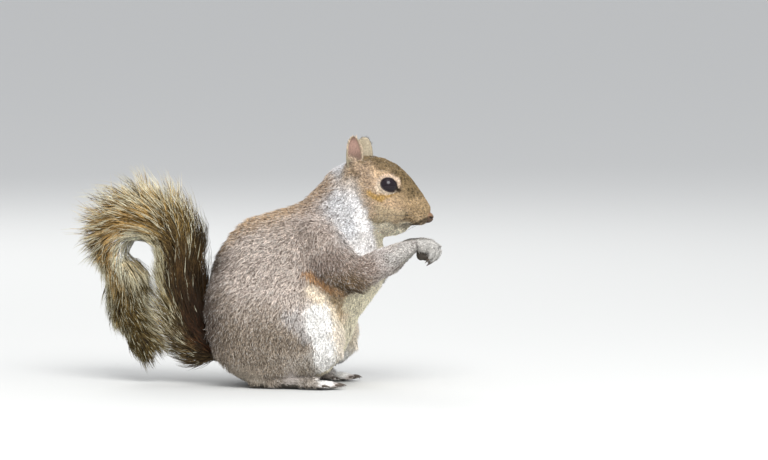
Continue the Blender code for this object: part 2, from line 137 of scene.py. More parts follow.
LAMPS = [  # name, place, aim, width, power
    ("key", (0.42, -1.4, 1.4), (0.02, 0, 0.08), 1.2, 35.0),
    ("fill", (1.7, -0.6, 0.8), (0.02, 0, 0.08), 1.6, 9.0),
    ("rim", (-0.6, 1.3, 1.1), (0.0, 0, 0.1), 0.9, 9.0),
    ("ceiling", (0.2, -0.9, 2.0), (0.02, 0, 0.1), 1.7, 6.0),
]
for name, place, aim, width, power in LAMPS:
    lamp = link_object(name, bpy.data.lights.new(name, "AREA"))
    lamp.location = place
    lamp.rotation_mode = "QUATERNION"
    lamp.rotation_quaternion = (Vector(aim) - Vector(place)).to_track_quat("-Z", "Y")
    lamp.data.shape = "DISK"
    lamp.data.size = width
    lamp.data.energy = power
    lamp.visible_glossy = name in ("key", "ceiling")  # the eye shows a spark and a dim sheen above it

world = bpy.data.worlds.new("studio")
world.use_nodes = True
world.node_tree.nodes["Background"].inputs["Color"].default_value = (0.93, 0.95, 1.0, 1)
world.node_tree.nodes["Background"].inputs["Strength"].default_value = 0.85
scene.world = world

floor_shape = bmesh.new()
bmesh.ops.create_grid(floor_shape, x_segments=1, y_segments=1, size=12)
floor_mesh = mesh_from("floor", floor_shape)
floor = link_object("floor", floor_mesh)
floor_paint = new_material("floor paint")
shade(floor_paint, Base_Color=(0.6, 0.6, 0.58, 1), Roughness=0.9)
floor_mesh.materials.append(floor_paint)
print("camera lens:", round(camera.data.lens, 1), "mm")

# %% [markdown]
# ## How the coat lies
#
# Fur has a direction at every place: from the nose back over the head, down the flanks, along the arms to
# the hands. It also has a length, and a depth from the skin to the tips. A groomer would know these at a
# few dozen places and fill in between, and so does this table. Each row holds a place and the way the hair
# runs there, both as (forward, outward, up), then hair length and coat depth in millimetres, the coat's
# colour by name, and the shares of the hairs that have a dark band and a pale tip. One rule blends
# neighbouring rows by nearness, so skin, tufts and markings all agree.

# %% The table of the coat
PALETTE = {  # linear colours
    "grey": (0.66, 0.56, 0.485),
    "haunch": (0.33, 0.265, 0.20),
    # the rump's darker fur with painted shade laid in, darkest at the back of the body
    "rump": (0.1, 0.075, 0.06),
    "back": (0.64, 0.47, 0.32),
    "russet": (0.47, 0.31, 0.17),
    "shoulder": (0.53, 0.435, 0.37),
    "nape": (0.64, 0.64, 0.65),
    "side_white": (0.9, 0.87, 0.85),
    "white": (0.86, 0.84, 0.8),
    "cream": (0.85, 0.78, 0.58),
    "warm_cream": (0.84, 0.71, 0.54),
    "belly_shade": (0.46, 0.33, 0.19),
    "fold": (0.44, 0.25, 0.12),
    "low": (0.33, 0.28, 0.22),
    "arm": (0.30, 0.23, 0.19),
    # painted shade under the arm, by the elbow
    "elbow": (0.17, 0.115, 0.065),
    "forearm": (0.46, 0.41, 0.38),
    "hand": (0.5, 0.485, 0.455),
    "cheek": (0.57, 0.405, 0.25),
    "jowl": (0.37, 0.315, 0.2),
    "muzzle": (0.37, 0.26, 0.14),
    "forehead": (0.2, 0.14, 0.07),
    # the chin's pale fur, made paler still by painted light thrown up from below
    "chin": (0.95, 0.86, 0.67),
    "ring": (0.70, 0.53, 0.39),
    "ring_low": (0.70, 0.57, 0.43),
    "ochre": (0.46, 0.28, 0.08),
    "ear_back": (0.38, 0.32, 0.22),
    "pink": (0.42, 0.265, 0.21),
    "dark": (0.05, 0.035, 0.022),
}
PALETTE = {title: np.array(colour) for title, colour in PALETTE.items()}
COAT_ROWS = {
    "head": [
        ((117, 0, 118), (-0.7, 0, 0.7), 1.3, 0.5, "muzzle", 0.15, 0.05),
        ((109, 0, 131), (-0.6, 0, 0.8), 2.0, 0.7, "muzzle", 0.4, 0.1),
        ((98, 0, 144), (-0.85, 0, 0.5), 3.0, 1.1, "forehead", 0.5, 0.1),
        ((83, 0, 151), (-1, 0, 0), 3.8, 1.4, "forehead", 0.45, 0.15),
        ((111, 6, 116), (-0.95, 0.25, 0.1), 1.5, 0.45, "muzzle", 0.15, 0.05),
        ((107, 7.5, 111), (-0.95, 0.25, -0.1), 1.5, 0.4, "muzzle", 0.25, 0.05),
        ((105, 7, 124), (-0.9, 0.3, 0.3), 1.7, 0.5, "muzzle", 0.2, 0.05),
        ((97, 14, 116), (-0.95, 0.2, -0.25), 2.6, 0.9, "cheek", 0.1, 0.1),
        ((92, 18, 123), (-1, 0.1, -0.2), 2.0, 0.5, "cheek", 0.1, 0.05),
        ((101, 12, 131), (-0.6, 0.4, 0.4), 1.4, 0.4, "muzzle", 0.15, 0.05),
        ((91, 12, 144), (-0.95, 0.1, 0.25), 2.0, 0.6, "cheek", 0.2, 0.05),
        ((82, 19, 132), (-1, 0.1, -0.15), 3.0, 1.0, "cheek", 0.1, 0.1),
        ((87, 16, 108), (-0.9, 0.1, -0.45), 3.4, 1.2, "jowl", 0.15, 0.15),
        # The chin's pale fur, with painted light from below.
        ((101, 3, 101), (-0.95, 0, -0.3), 1.9, 0.6, "chin", 0.15, 0.1),
        ((74, 18, 140), (-0.95, 0.1, -0.3), 3.0, 1.1, "cheek", 0.25, 0.1),
        ((73, 20, 122), (-0.8, 0.1, -0.6), 4.2, 1.7, "nape", 0.15, 0.2),
    ],
    "neck": [
        ((60, 0, 145), (-0.8, 0, -0.6), 5.5, 2.0, "nape", 0.25, 0.25),
        ((89, 0, 98), (-0.6, 0, -0.8), 4.0, 1.6, "cream", 0.05, 0.1),
        ((60, 21, 124), (-0.75, 0.1, -0.65), 5.5, 2.2, "nape", 0.25, 0.25),
        ((71, 22, 108), (-0.6, 0.1, -0.8), 5.5, 2.2, "nape", 0.15, 0.25),
        ((45, 10, 130), (-0.85, 0, -0.5), 6.5, 2.6, "shoulder", 0.35, 0.25),
    ],
    "back": [
        ((40, 18, 116), (-0.8, 0.1, -0.6), 7, 2.8, "shoulder", 0.35, 0.3),
        ((24, 0, 118), (-0.95, 0, -0.3), 7.5, 3.0, "back", 0.35, 0.25),
        ((0, 0, 109), (-0.9, 0, -0.45), 8, 3.2, "back", 0.35, 0.3),
        ((-8, 20, 100), (-0.75, 0.1, -0.65), 8, 3.2, "grey", 0.35, 0.3),
        # These rows carry painted shade over the rump, at the back of the body.
        ((-22, 0, 85), (-0.35, 0, -0.93), 8.5, 3.3, "rump", 0.35, 0.25),
        ((-29, 0, 50), (0, 0, -1), 8, 3.0, "rump", 0.3, 0.2),
        ((-22, 20, 45), (0, 0, -1), 8, 3.0, "rump", 0.35, 0.25),
        ((-15, 0, 15), (0.3, 0, -0.95), 6, 2.4, "rump", 0.3, 0.2),
    ],
    "flank": [
        ((12, 32, 92), (-0.75, 0.1, -0.65), 7.5, 3.1, "grey", 0.35, 0.3),
        ((32, 34, 77), (-0.6, 0.1, -0.8), 7.5, 3.0, "grey", 0.35, 0.3),
        ((-5, 36, 75), (-0.5, 0.1, -0.85), 8, 3.1, "grey", 0.35, 0.3),
    ],
    "belly": [
        ((84, 0, 80), (-0.3, 0, -0.95), 7, 2.8, "cream", 0.03, 0.15),
        ((78, 14, 92), (-0.5, 0.1, -0.85), 6, 2.4, "side_white", 0.05, 0.1),
        ((73, 0, 50), (-0.2, 0, -0.98), 7, 2.8, "cream", 0.03, 0.15),
        ((66, 20, 52), (-0.1, 0.3, -0.95), 7, 2.6, "cream", 0.05, 0.15),
        ((60, 8, 20), (-0.4, 0, -0.9), 6, 2.4, "cream", 0.05, 0.1),
        ((30, 0, 2), (-0.9, 0, -0.2), 4, 1.6, "belly_shade", 0.05, 0.1),
    ],
    "haunch": [
        ((0, 43, 60), (-0.4, 0.1, -0.9), 8, 3.0, "grey", 0.35, 0.3),
        ((25, 45, 58), (-0.3, 0, -0.95), 7.5, 3.0, "grey", 0.35, 0.3),
        ((-8, 42, 35), (0, 0, -1), 7.5, 2.8, "haunch", 0.35, 0.25),
        ((20, 45, 34), (-0.1, 0, -1), 7, 2.8, "haunch", 0.35, 0.25),
        ((20, 42, 14), (0.05, 0, -1), 5.5, 2.0, "low", 0.3, 0.25),
        ((36, 45, 52), (-0.15, 0, -1), 7, 2.8, "grey", 0.3, 0.25),
        ((39, 44, 34), (-0.1, 0, -1), 7, 2.8, "haunch", 0.3, 0.25),
        ((40, 42, 14), (0.05, 0, -1), 5.5, 2.2, "low", 0.25, 0.2),
        ((54, 41, 45), (-0.1, 0, -1), 7, 2.8, "white", 0.03, 0.1),
        ((57, 38, 22), (0.05, 0, -1), 5.5, 2.2, "white", 0.03, 0.1),
    ],
    "arm": [
        ((48, 30, 100), (-0.1, 0.1, -1), 6.5, 2.5, "shoulder", 0.4, 0.3),
        ((58, 36, 84), (0.15, 0.05, -1), 5.6, 2.3, "arm", 0.45, 0.35),
        ((46, 34, 78), (0.3, 0.05, -0.95), 6.2, 2.5, "arm", 0.4, 0.35),
        # Painted shade under the arm, by the elbow.
        ((68, 35, 70), (0.6, 0, -0.75), 5, 2.0, "elbow", 0.4, 0.3),
        ((78, 30, 80), (0.75, -0.2, 0.1), 4.5, 1.8, "arm", 0.35, 0.35),
        ((90, 25, 84), (0.8, -0.4, 0.45), 3.6, 1.3, "forearm", 0.25, 0.2),
        ((90, 18, 72), (0.8, -0.4, 0.4), 3.6, 1.3, "forearm", 0.15, 0.2),
        ((105, 14, 93), (0.85, -0.4, 0.35), 2.8, 0.8, "forearm", 0.15, 0.2),
    ],
    "hand": [
        ((113, 10, 96), (0.95, -0.1, 0.1), 1.8, 0.5, "hand", 0.12, 0.25),
        ((121, 7, 94), (0.6, 0, -0.8), 1.4, 0.35, "hand", 0.1, 0.25),
        ((120, 7, 86), (-0.2, 0, -1.0), 1.1, 0.25, "hand", 0.1, 0.25),
    ],
    "foot": [
        ((4, 30, 6), (-0.2, 0, -0.9), 2.6, 0.7, "low", 0.2, 0.2),
        ((30, 31, 11), (1, 0.05, -0.1), 2.6, 0.6, "forearm", 0.15, 0.2),
        ((58, 32, 5), (1, 0.05, -0.15), 1.6, 0.3, "forearm", 0.1, 0.2),
    ],
}
COAT_PARTS = list(COAT_ROWS)


def both_sides(rows):
    """Every row, and its mirror image where it is off the middle plane."""
    made = []
    for place, lie, *rest in rows:
        for side in (1, -1) if place[1] else (1,):
            made.append(((place[0], place[1] * side, place[2]), (lie[0], lie[1] * side, lie[2]), *rest))
    return made


rows = both_sides([(*row, part) for part, group in COAT_ROWS.items() for row in group])
ROW_PLACES = np.array([row[0] for row in rows]) * MM
DARK_GAIN, MOST_DARK, PALE_GAIN = 1.6, 0.62, 1.3  # what the table's shares of hairs are raised by
ROW_VALUES = np.array([
    [*lie, length * MM, depth * MM, *PALETTE[colour], min(DARK_GAIN * dark, MOST_DARK), PALE_GAIN * pale]
    for place, lie, length, depth, colour, dark, pale, part in rows
])
ROW_PARTS = np.array([COAT_PARTS.index(row[7]) for row in rows])
NEAR = 5 * MM  # rows closer than this blend evenly
FALLOFF = 2.2  # how fast a row's say fades with distance


def coat_at(points):
    """For each point: lie (3), length, depth, colour (3), shares of dark and pale hairs, part."""
    lie, values, parts = [], [], []
    for chunk in np.array_split(points, max(1, len(points) // 20000)):
        gap = ((chunk[:, None, :] - ROW_PLACES[None]) ** 2).sum(2) + NEAR * NEAR
        weight = gap ** -FALLOFF
        parts.append(ROW_PARTS[weight.argmax(1)])
        weight /= weight.sum(1, keepdims=True)
        mixed = weight @ ROW_VALUES
        lie.append(mixed[:, :3])
        values.append(mixed[:, 3:])
    values = np.concatenate(values)
    return {
        "lie": np.concatenate(lie),
        "length": values[:, 0],
        "depth": values[:, 1],
        "tone": values[:, 2:5],
        "shares": values[:, 5:7],
        "part": np.concatenate(parts),
    }


def smoothstep(low, high, value):
    t = np.clip((value - low) / (high - low), 0, 1)
    return t * t * (3 - 2 * t)


def fade(low, high, value):
    """The same step the other way: 1 at low, falling to 0 at high."""
    return 1 - smoothstep(low, high, value)


def unit(vectors):
    return vectors / np.maximum(np.linalg.norm(vectors, axis=1, keepdims=True), 1e-12)


WAVE_COUNT = 7


def waves(points, size, seed):
    """Smooth noise between about -1 and 1: a sum of waves of about that size, in random directions."""
    dice = np.random.default_rng(seed)
    total = np.zeros(len(points))
    for _ in range(WAVE_COUNT):
        direction = dice.normal(size=3)
        direction *= dice.uniform(0.7, 1.5) / np.linalg.norm(direction)
        total += np.sin(points @ direction * (math.tau / size) + dice.uniform(0, math.tau))
    return total / math.sqrt(WAVE_COUNT) * 0.9


def wave_vectors(points, size, seeds):
    """Smooth noise with three parts, one for each seed."""
    return np.stack([waves(points, size, seed) for seed in seeds], 1)


print("rows in the table:", len(rows))

# %% [markdown]
# ## The skin
#
# Under its coat the animal has one unbroken skin. The solids are parted by thin cuts, so each is swollen by
# a hair's breadth until it touches its neighbours, and a voxel remesh melts them into one surface. Hands
# and feet have finer shapes than the body, so they are melted on their own with smaller voxels, and their
# wrists and ankles end inside the body. After smoothing, every point moves inwards by the coat's depth.

# %% Melt the flesh into one surface
FLESH = [
    "head", "neck", "trunk", "upper_arm_left", "upper_arm_right", "forearm_left", "forearm_right",
    "thigh_left", "thigh_right", "shank_left", "shank_right",
]
LIMB_ENDS = ["hand_left", "hand_right", "foot_left", "foot_right"]
SWELL = 0.3 * MM


def melted(name, nodes, voxel, smoothing, pads=()):
    """A smooth closed surface round copies of those solids, and round pads of (centre, radii)."""
    shape = bmesh.new()
    for node_name in nodes:
        shape.from_mesh(frame["nodes"][node_name].data)
    for pad_centre, radii in pads:
        fit = Matrix.Translation(Vector(pad_centre) * MM) @ Matrix.Diagonal((*(Vector(radii) * MM), 1))
        bmesh.ops.create_icosphere(shape, subdivisions=3, radius=1, matrix=fit)
    bmesh.ops.remove_doubles(shape, verts=shape.verts, dist=0.00001)
    shape.normal_update()
    moves = [vertex.normal * SWELL for vertex in shape.verts]
    for vertex, move in zip(shape.verts, moves):
        vertex.co += move
    made = link_object(name, mesh_from(name, shape))
    remesh = made.modifiers.new("melt", "REMESH")
    remesh.mode = "VOXEL"
    remesh.voxel_size = voxel
    smooth = made.modifiers.new("smooth", "SMOOTH")
    smooth.factor = 0.5
    smooth.iterations = smoothing
    return made


def volume_inside(points, faces):
    """The volume a closed surface holds; negative where its faces point inwards."""
    corners = np.array([(face[0], face[k], face[k + 1]) for face in faces for k in range(1, len(face) - 1)])
    a, b, c = (points[corners[:, k]] for k in range(3))
    return float((a * np.cross(b, c)).sum() / 6)


def surface_of(shape):
    """The points, normals and faces of a bmesh, which is freed."""
    shape.normal_update()
    shape.verts.index_update()
    points = np.array([vertex.co for vertex in shape.verts])
    normals = np.array([vertex.normal for vertex in shape.verts])
    faces = [tuple(vertex.index for vertex in face.verts) for face in shape.faces]
    shape.free()
    return points, normals, faces


def taken(made):
    """Points, normals and faces of an object's largest piece as its modifiers show it; the object goes."""
    graph = bpy.context.evaluated_depsgraph_get()
    mesh = bpy.data.meshes.new_from_object(made.evaluated_get(graph))
    bpy.data.objects.remove(made)
    shape = bmesh.new()
    shape.from_mesh(mesh)
    bpy.data.meshes.remove(mesh)
    unseen, largest = set(shape.verts), set()
    while len(unseen) > len(largest):
        island, edge_of_island = set(), [next(iter(unseen))]
        while edge_of_island:
            vertex = edge_of_island.pop()
            if vertex not in island:
                island.add(vertex)
                edge_of_island += [edge.other_vert(vertex) for edge in vertex.link_edges]
        unseen -= island
        largest = max(largest, island, key=len)
    bmesh.ops.delete(shape, geom=[vertex for vertex in shape.verts if vertex not in largest], context="VERTS")
    points, normals, faces = surface_of(shape)
    if volume_inside(points, faces) < 0:
        normals, faces = -normals, [face[::-1] for face in faces]
    return points, normals, faces


def finer(points, faces, region):
    """The same surface with every face of a region cut in four, and that region smoothed."""
    shape = bmesh.new()
    made = [shape.verts.new(point) for point in points]
    for face in faces:
        shape.faces.new([made[corner] for corner in face])
    chosen = {made[number] for number in np.flatnonzero(region)}
    edges = [edge for edge in shape.edges if chosen.issuperset(edge.verts)]
    bmesh.ops.subdivide_edges(shape, edges=edges, cuts=1, use_grid_fill=True)
    new_region = [vertex for vertex in shape.verts if vertex.link_edges[0].calc_length() < BODY_VOXEL * 0.7]
    for _ in range(3):
        bmesh.ops.smooth_vert(
            shape, verts=new_region, factor=0.5, use_axis_x=True, use_axis_y=True, use_axis_z=True
        )
    return surface_of(shape)


BODY_VOXEL, FINE_VOXEL = 1.0 * MM, 0.45 * MM
body_points, body_normals, body_faces = taken(
    melted("body", FLESH + LIMB_ENDS + ["eye_left", "eye_right", "nose"], BODY_VOXEL, 8)
)
in_face = (body_points[:, 0] > 85 * MM) & (body_points[:, 2] > 98 * MM) & (body_points[:, 0] < 125 * MM)
body_points, body_normals, body_faces = finer(body_points, body_faces, in_face)
depth = coat_at(body_points)["depth"]
hidden = np.zeros(len(body_points))
for limb_end in LIMB_ENDS:
    low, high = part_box(limb_end)
    if limb_end.startswith("hand"):
        inside = smoothstep(low.x + 0.5 * MM, low.x + 2.5 * MM, body_points[:, 0])
        inside = inside * (body_points[:, 2] > 78 * MM) * (body_points[:, 2] < 99 * MM)
    else:
        inside = fade(high.z - 3 * MM, high.z - MM, body_points[:, 2])
        inside = inside * smoothstep(6 * MM, 9 * MM, body_points[:, 0])
    inside = inside * (np.sign(body_points[:, 1]) == math.copysign(1, (low + high).y))
    inside = inside * (body_points[:, 1] > low.y - MM) * (body_points[:, 1] < high.y + MM)
    hidden = np.maximum(hidden, inside)
body_points = body_points - body_normals * (depth + SWELL + 0.6 * MM * hidden)[:, None]
print("body skin:", len(body_points), "points")

# %% [markdown]
# ## Fullness of the face and forearm
#
# Melting and smoothing make the muzzle a little meagre. A squirrel's muzzle ends bluntly: two full whisker
# pads meet under the nose, the cheeks are round with chewing muscle, and a brow stands over each eye. The
# underside of the forearm is pared a little in the same way. Each is a soft bulge or hollow: points near
# its centre move out or in along their normals, less and less towards its edge. The left forearm then
# sinks a little, so that it lies lower than the right.

# %% Fill the muzzle, pads, cheeks and brows
BULGES = [  # centre as (forward, outward, up), radius, and how far it swells, in millimetres
    ((119.5, 1, 113), 6.5, -2.0),
    ((113, 4.5, 108.5), 4.5, 0.8),
    ((109.5, 7, 110.5), 5.5, 1.1),
    ((97, 14, 112), 9.0, 0.8),
    ((97, 12.5, 140), 5.0, 0.7),
    ((104, 10.5, 124), 5.0, -0.5),
    ((104, 2, 101.5), 4.5, 0.5),
    ((71, 28, 61), 12.0, -3.5),
    ((86, 25, 67), 12.0, -3.0),
]
FOREARM_DROP = 1.9 * MM


def folded(points):
    """The points, with those of the right side mirrored onto the left."""
    made = np.array(points)
    made[:, 1] = np.abs(made[:, 1])
    return made


one_side = folded(body_points)
for bulge_centre, bulge_radius, rise in BULGES:
    gap = np.linalg.norm(one_side - np.array(bulge_centre) * MM, axis=1)
    swelling = rise * MM * fade(0, bulge_radius * MM, gap)
    body_points = body_points + body_normals * swelling[:, None]
from_arm = (body_points[:, [0, 2]] - np.array([95, 88]) * MM) / (np.array([15, 9]) * MM)
lowered = fade(0.5, 1.0, np.linalg.norm(from_arm, axis=1)) * (body_points[:, 1] > 1 * MM)
lowered = lowered * np.clip(body_normals[:, 2], 0, 1)
body_points[:, 2] -= FOREARM_DROP * lowered
print("bulges:", len(BULGES), "and the left forearm lowered at", int((lowered > 0.5).sum()), "points")

# %% [markdown]
# ## Eyelids
#
# A squirrel's eye is large, dark and set on the side of the head. The lids hug the eyeball and leave an
# almond opening with a sharp corner in front that points down towards the nose. The skin near each eye is
# moved in or out along lines from the eyeball's centre: outside the opening it lies on the ball, just proud
# of it, and inside the opening it drops behind the ball's surface. A thin dark rim of bare skin is added
# along the edge later.

# %% Shape the eyelids
EYE_OPEN_BACK, EYE_OPEN_FRONT = math.radians(58), math.radians(76)
EYE_ROUND_FRONT = math.radians(62)  # the round part's half-width in front; past it runs the corner
EYE_OPEN_UP, EYE_OPEN_DOWN = math.radians(47), math.radians(42)
LID = 0.4 * MM
LID_REACH, BALL_SINK = 1.75, 0.84  # in eyeball radii: how far skin is moved, and how deep the opening drops
EYES = {}
for side, hand in SIDES.items():
    low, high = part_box("eye_" + side)
    centre = np.array((low + high) / 2)
    radius = (high - low).z / 2
    out = Vector((0.26, hand, 0.16)).normalized()
    ahead = Vector((0.93, 0, -0.36))
    ahead = (ahead - out * ahead.dot(out)).normalized()
    over = Vector((0, 0, 1)) - ahead * ahead.z - out * out.z
    over.normalize()
    EYES[side] = {"centre": centre, "radius": radius, "axes": np.array([ahead, over, out])}


def lid_angle(along):
    """How far the opening reaches up and down, at an angle along it: (up, down)."""
    limit = np.where(along > 0, EYE_ROUND_FRONT, EYE_OPEN_BACK)
    share = np.clip(np.abs(along) / limit, 0, 1)
    arch = np.sqrt(1 - share ** 2.2)
    corner = 0.62 * np.clip(1 - np.abs(along) / EYE_OPEN_FRONT, 0, 1)
    arch = np.where(along > 0, np.maximum(arch, corner), arch)
    return EYE_OPEN_UP * arch, EYE_OPEN_DOWN * arch


def eye_angles(points, eye):
    """Distance from the eyeball's centre, and the angles along and over the opening."""
    away = points - eye["centre"]
    distance = np.linalg.norm(away, axis=1)
    local = away @ eye["axes"].T
    along = np.arctan2(local[:, 0], np.maximum(local[:, 2], 1e-6))
    across = np.arctan2(local[:, 1], np.hypot(local[:, 0], local[:, 2]))
    in_front = local[:, 2] > 0
    return distance, along, across, in_front


def outside_opening(along, across):
    """An angle: how far outside the lid's edge, negative inside the opening."""
    up, down = lid_angle(along)
    return np.where(across > 0, across - up, -across - down)


for eye in EYES.values():
    distance, along, across, in_front = eye_angles(body_points, eye)
    spare = outside_opening(along, across)
    near = in_front & (distance < eye["radius"] * LID_REACH)
    hug = fade(0.15, 0.75, spare)
    hugging = eye["radius"] + LID
    wanted = np.where(spare < 0, eye["radius"] * BALL_SINK, np.maximum(distance, hugging))
    wanted = np.where(spare >= 0, wanted * (1 - hug) + hugging * hug, wanted)
    moved = eye["centre"] + (body_points - eye["centre"]) * (wanted / distance)[:, None]
    body_points = np.where(near[:, None], moved, body_points)
print("eyeballs:", {side: round(eye["radius"] / MM, 2) for side, eye in EYES.items()})

# %% [markdown]
# ## Mouth
#
# The closed mouth is a groove that runs back from under the nose, below the whisker pads, to the cheek, and
# a short cleft joins it to the nose. Sitting up, the animal also has a deep crease of loose skin under the
# arm, from the flank forward to the elbow. Each is a line of points, and skin near the line sinks.

# %% Sink the mouth line and the crease under the arm
MOUTH = [
    (117.5, 0.5, 108.5), (113, 3.5, 107), (108, 6.5, 106),
    (102, 8.5, 105.8), (97, 10.5, 107.4), (93, 12, 109.4),
]
CLEFT = [(118.5, 0, 109.5), (117.5, 0, 107.6)]


def from_line(points, line):
    """How far points lie from a line through places in millimetres, in space or in side view."""
    nearest = np.full(len(points), 1.0)
    places = np.array(line, float) * MM
    for start, end in zip(places, places[1:]):
        run = end - start
        t = np.clip((points - start) @ run / (run @ run), 0, 1)
        nearest = np.minimum(nearest, np.linalg.norm(points - start - t[:, None] * run, axis=1))
    return nearest


def near_line(points, line, radius):
    """1 on a line through the places, falling to 0 at the radius. Both sides of the animal are taken."""
    return fade(0, radius, from_line(folded(points), line))


mouth = np.maximum(near_line(body_points, MOUTH, 1.9 * MM), 0.6 * near_line(body_points, CLEFT, 1.2 * MM))
body_points = body_points - body_normals * (mouth * 1.1 * MM)[:, None]
FLANK_FOLD = [(39, 40, 80.5), (49, 39.5, 76.2), (58, 38, 70), (66, 35, 65.5), (76, 31, 65)]
fold = near_line(body_points, FLANK_FOLD, 4.5 * MM)
body_points = body_points - body_normals * (fold * 1.9 * MM)[:, None]
print("points in the mouth line:", int((mouth > 0.1).sum()))

# %% [markdown]
# ## Hands and feet
#
# The hands have four slim fingers that curl down, and the long hind feet have five toes. They are nearly
# bare below and thinly haired above, so their skin sits close under the solid's surface. Inside the curled
# fingers lie the dark palm pads.

# %% Melt the hands and feet
PALM_PADS = [  # centre as (forward, outward, up) and radii, in millimetres
    ((112.4, 7.0, 87.4), (3.4, 3.6, 4.2)),
    ((115.6, 6.6, 86.2), (3.0, 3.2, 3.2)),
]
FINGER_GAPS = np.array([5.25, 7.65, 10.05]) * MM  # outward places of the grooves, at the fingers' roots


def between_fingers(points, near, far):
    """1 in the grooves between the fingers, falling to 0 at the far distance. They lean in as they drop."""
    lean_in = 1.15 * MM * np.clip((94.5 * MM - points[:, 2]) / (10.5 * MM), 0, 1)
    gap = np.abs((np.abs(points[:, 1]) + lean_in)[:, None] - FINGER_GAPS).min(1)
    on_hand = smoothstep(113 * MM, 117 * MM, points[:, 0])
    on_hand = on_hand * (points[:, 2] > 78 * MM) * (points[:, 2] < 98 * MM)
    return on_hand * fade(near, far, gap)


fine_skins = []
for limb_end in LIMB_ENDS:
    hand = 1 if limb_end.endswith("left") else -1
    pads = []
    if limb_end.startswith("hand"):
        pads = [((x, y * hand, z), radii) for (x, y, z), radii in PALM_PADS]
    points, normals, faces = taken(melted(limb_end + "_skin", [limb_end], FINE_VOXEL, 3, pads))
    inset = (coat_at(points)["depth"] * 0.7 + SWELL)[:, None]
    if pads:
        inset = inset + (0.9 * MM * between_fingers(points, 0.3 * MM, 1.1 * MM))[:, None]
    fine_skins.append((points - normals * inset, normals, faces))
print("hand and foot skin:", sum(len(fine_skin[0]) for fine_skin in fine_skins), "points")

# %% [markdown]
# ## Ears
#
# A grey squirrel's ear is a thin upright scoop, rounded at the tip, that opens outwards and forwards. Rows
# climb its axis and columns run round the scoop, first along the inside and then back along the outside, so
# that the rim is rounded and the ear is one closed shell. Its root goes down into the head.

# %% Build the ears
EAR_BASE, EAR_AXIS = (70.05, 11.5, 141.5), (0.0, 0.27, 1.0)
EAR_OPENS = {1.0: (0.3, 0.95, 0.1), -1.0: (0.6, 0.8, 0.1)}
EAR_HEIGHTS = {1.0: 21.5, -1.0: 24.0}  # the head leans a little, so the left ear stands lower
EAR_HALF_WIDTHS = {1.0: 7.4, -1.0: 6.4}
EAR_BASE_SHARE, EAR_CUP, EAR_WALL = 0.6, 4.6, 0.9
EAR_ROWS, EAR_COLUMNS = 30, 18
EAR_LEAN = {1.0: 0.10, -1.0: 0.0}  # the left ear is turned a little further forward


def tube_faces(rings, sides):
    """Faces of a tube made of rings of points, closed at both ends."""
    faces = []
    for ring in range(rings - 1):
        low, high = ring * sides, (ring + 1) * sides
        for number in range(sides):
            beside = (number + 1) % sides
            faces.append((low + number, low + beside, high + beside, high + number))
    return faces + [tuple(range(sides)), tuple((rings - 1) * sides + number for number in range(sides))]


def ear_shell(hand):
    """Points, faces and a bareness value (1 inside the scoop) of one ear."""
    axis = Vector((EAR_AXIS[0] + EAR_LEAN[hand], EAR_AXIS[1] * hand, EAR_AXIS[2])).normalized()
    opens = Vector(EAR_OPENS[hand])
    opens.y *= hand
    opens = (opens - axis * opens.dot(axis)).normalized()
    across = axis.cross(opens)
    base = Vector((EAR_BASE[0], EAR_BASE[1] * hand, EAR_BASE[2]))
    points, bare = [], []
    ring = 2 * EAR_COLUMNS
    for row in range(EAR_ROWS + 1):
        climb = 1 - (1 - row / EAR_ROWS) ** 1.6
        swell = EAR_BASE_SHARE + (1 - EAR_BASE_SHARE) * math.sin(math.pi * min(climb, 0.5))
        width = EAR_HALF_WIDTHS[hand] * max(swell * math.sqrt(max(0.0, 1 - climb ** 2.4)), 0.05)
        cup = EAR_CUP * (1 - 0.5 * climb) * min(1, width / 3)
        middle = base + axis * EAR_HEIGHTS[hand] * climb - opens * (1.6 * climb * climb)
        for number in range(ring):
            inner = number < EAR_COLUMNS
            step = number if inner else ring - 1 - number
            angle = math.pi * ((step + 0.5) / EAR_COLUMNS - 0.5)
            wall = EAR_WALL / 2 * (-1 if inner else 1) * min(1, width / 1.5)
            reach = (width + wall) * math.sin(angle)
            sink = (cup + wall) * math.cos(angle)
            points.append((middle + across * reach - opens * sink) * MM)
            from_rim = min(1 - abs(angle) / (math.pi / 2), (1 - row / EAR_ROWS) * 2.5)
            haired = smoothstep(0.22, 0.5, climb + 0.12 * math.sin(angle))
            bare.append(float(smoothstep(0.0, 0.35, from_rim) * haired) if inner else 0.0)
    return np.array(points), tube_faces(EAR_ROWS + 1, ring), np.array(bare, float)


ears = [ear_shell(hand) for hand in SIDES.values()]
print("ear shells:", [len(ear[0]) for ear in ears])

# %% [markdown]
# ## The tail's core
#
# The tail itself is a slim tapered rod of bone and skin. All the rest of the brush is hair. The core
# follows the same line as the tail solids, given here as (x, z) with the brush's reach towards the inside
# of the bend, towards its outside, and sideways. A Catmull-Rom curve runs through the rows.

# %% Run the tail's core
TAIL_ROWS = np.array([
    (-20, 18.5, 15, 11, 13),
    (-31, 22, 22, 12, 17),
    (-38.5, 33.5, 25, 12.5, 20),
    (-43.5, 49, 25, 13, 22),
    (-48, 67, 23, 14.5, 23.5),
    (-51.2, 84, 19, 20.5, 25),
    (-57.5, 97.5, 12, 30.5, 26),
    (-68, 105, 9, 35, 26.5),
    (-80.5, 105, 8.5, 33.5, 26.5),
    (-91, 98.5, 8, 36, 25.5),
    (-94.5, 87.5, 9, 25.5, 23.5),
    (-91.5, 73.5, 10, 11.5, 20),
    (-88, 60, 14, 11.5, 17.5),
    (-84, 48, 11.5, 14.5, 15),
    (-79.5, 38, 10, 14.5, 11.5),
    (-75, 29.5, 5, 8, 6),
]) * MM
TAIL_ROWS[:, 0] -= 0.95 * MM
TAIL_END = len(TAIL_ROWS) - 1.0


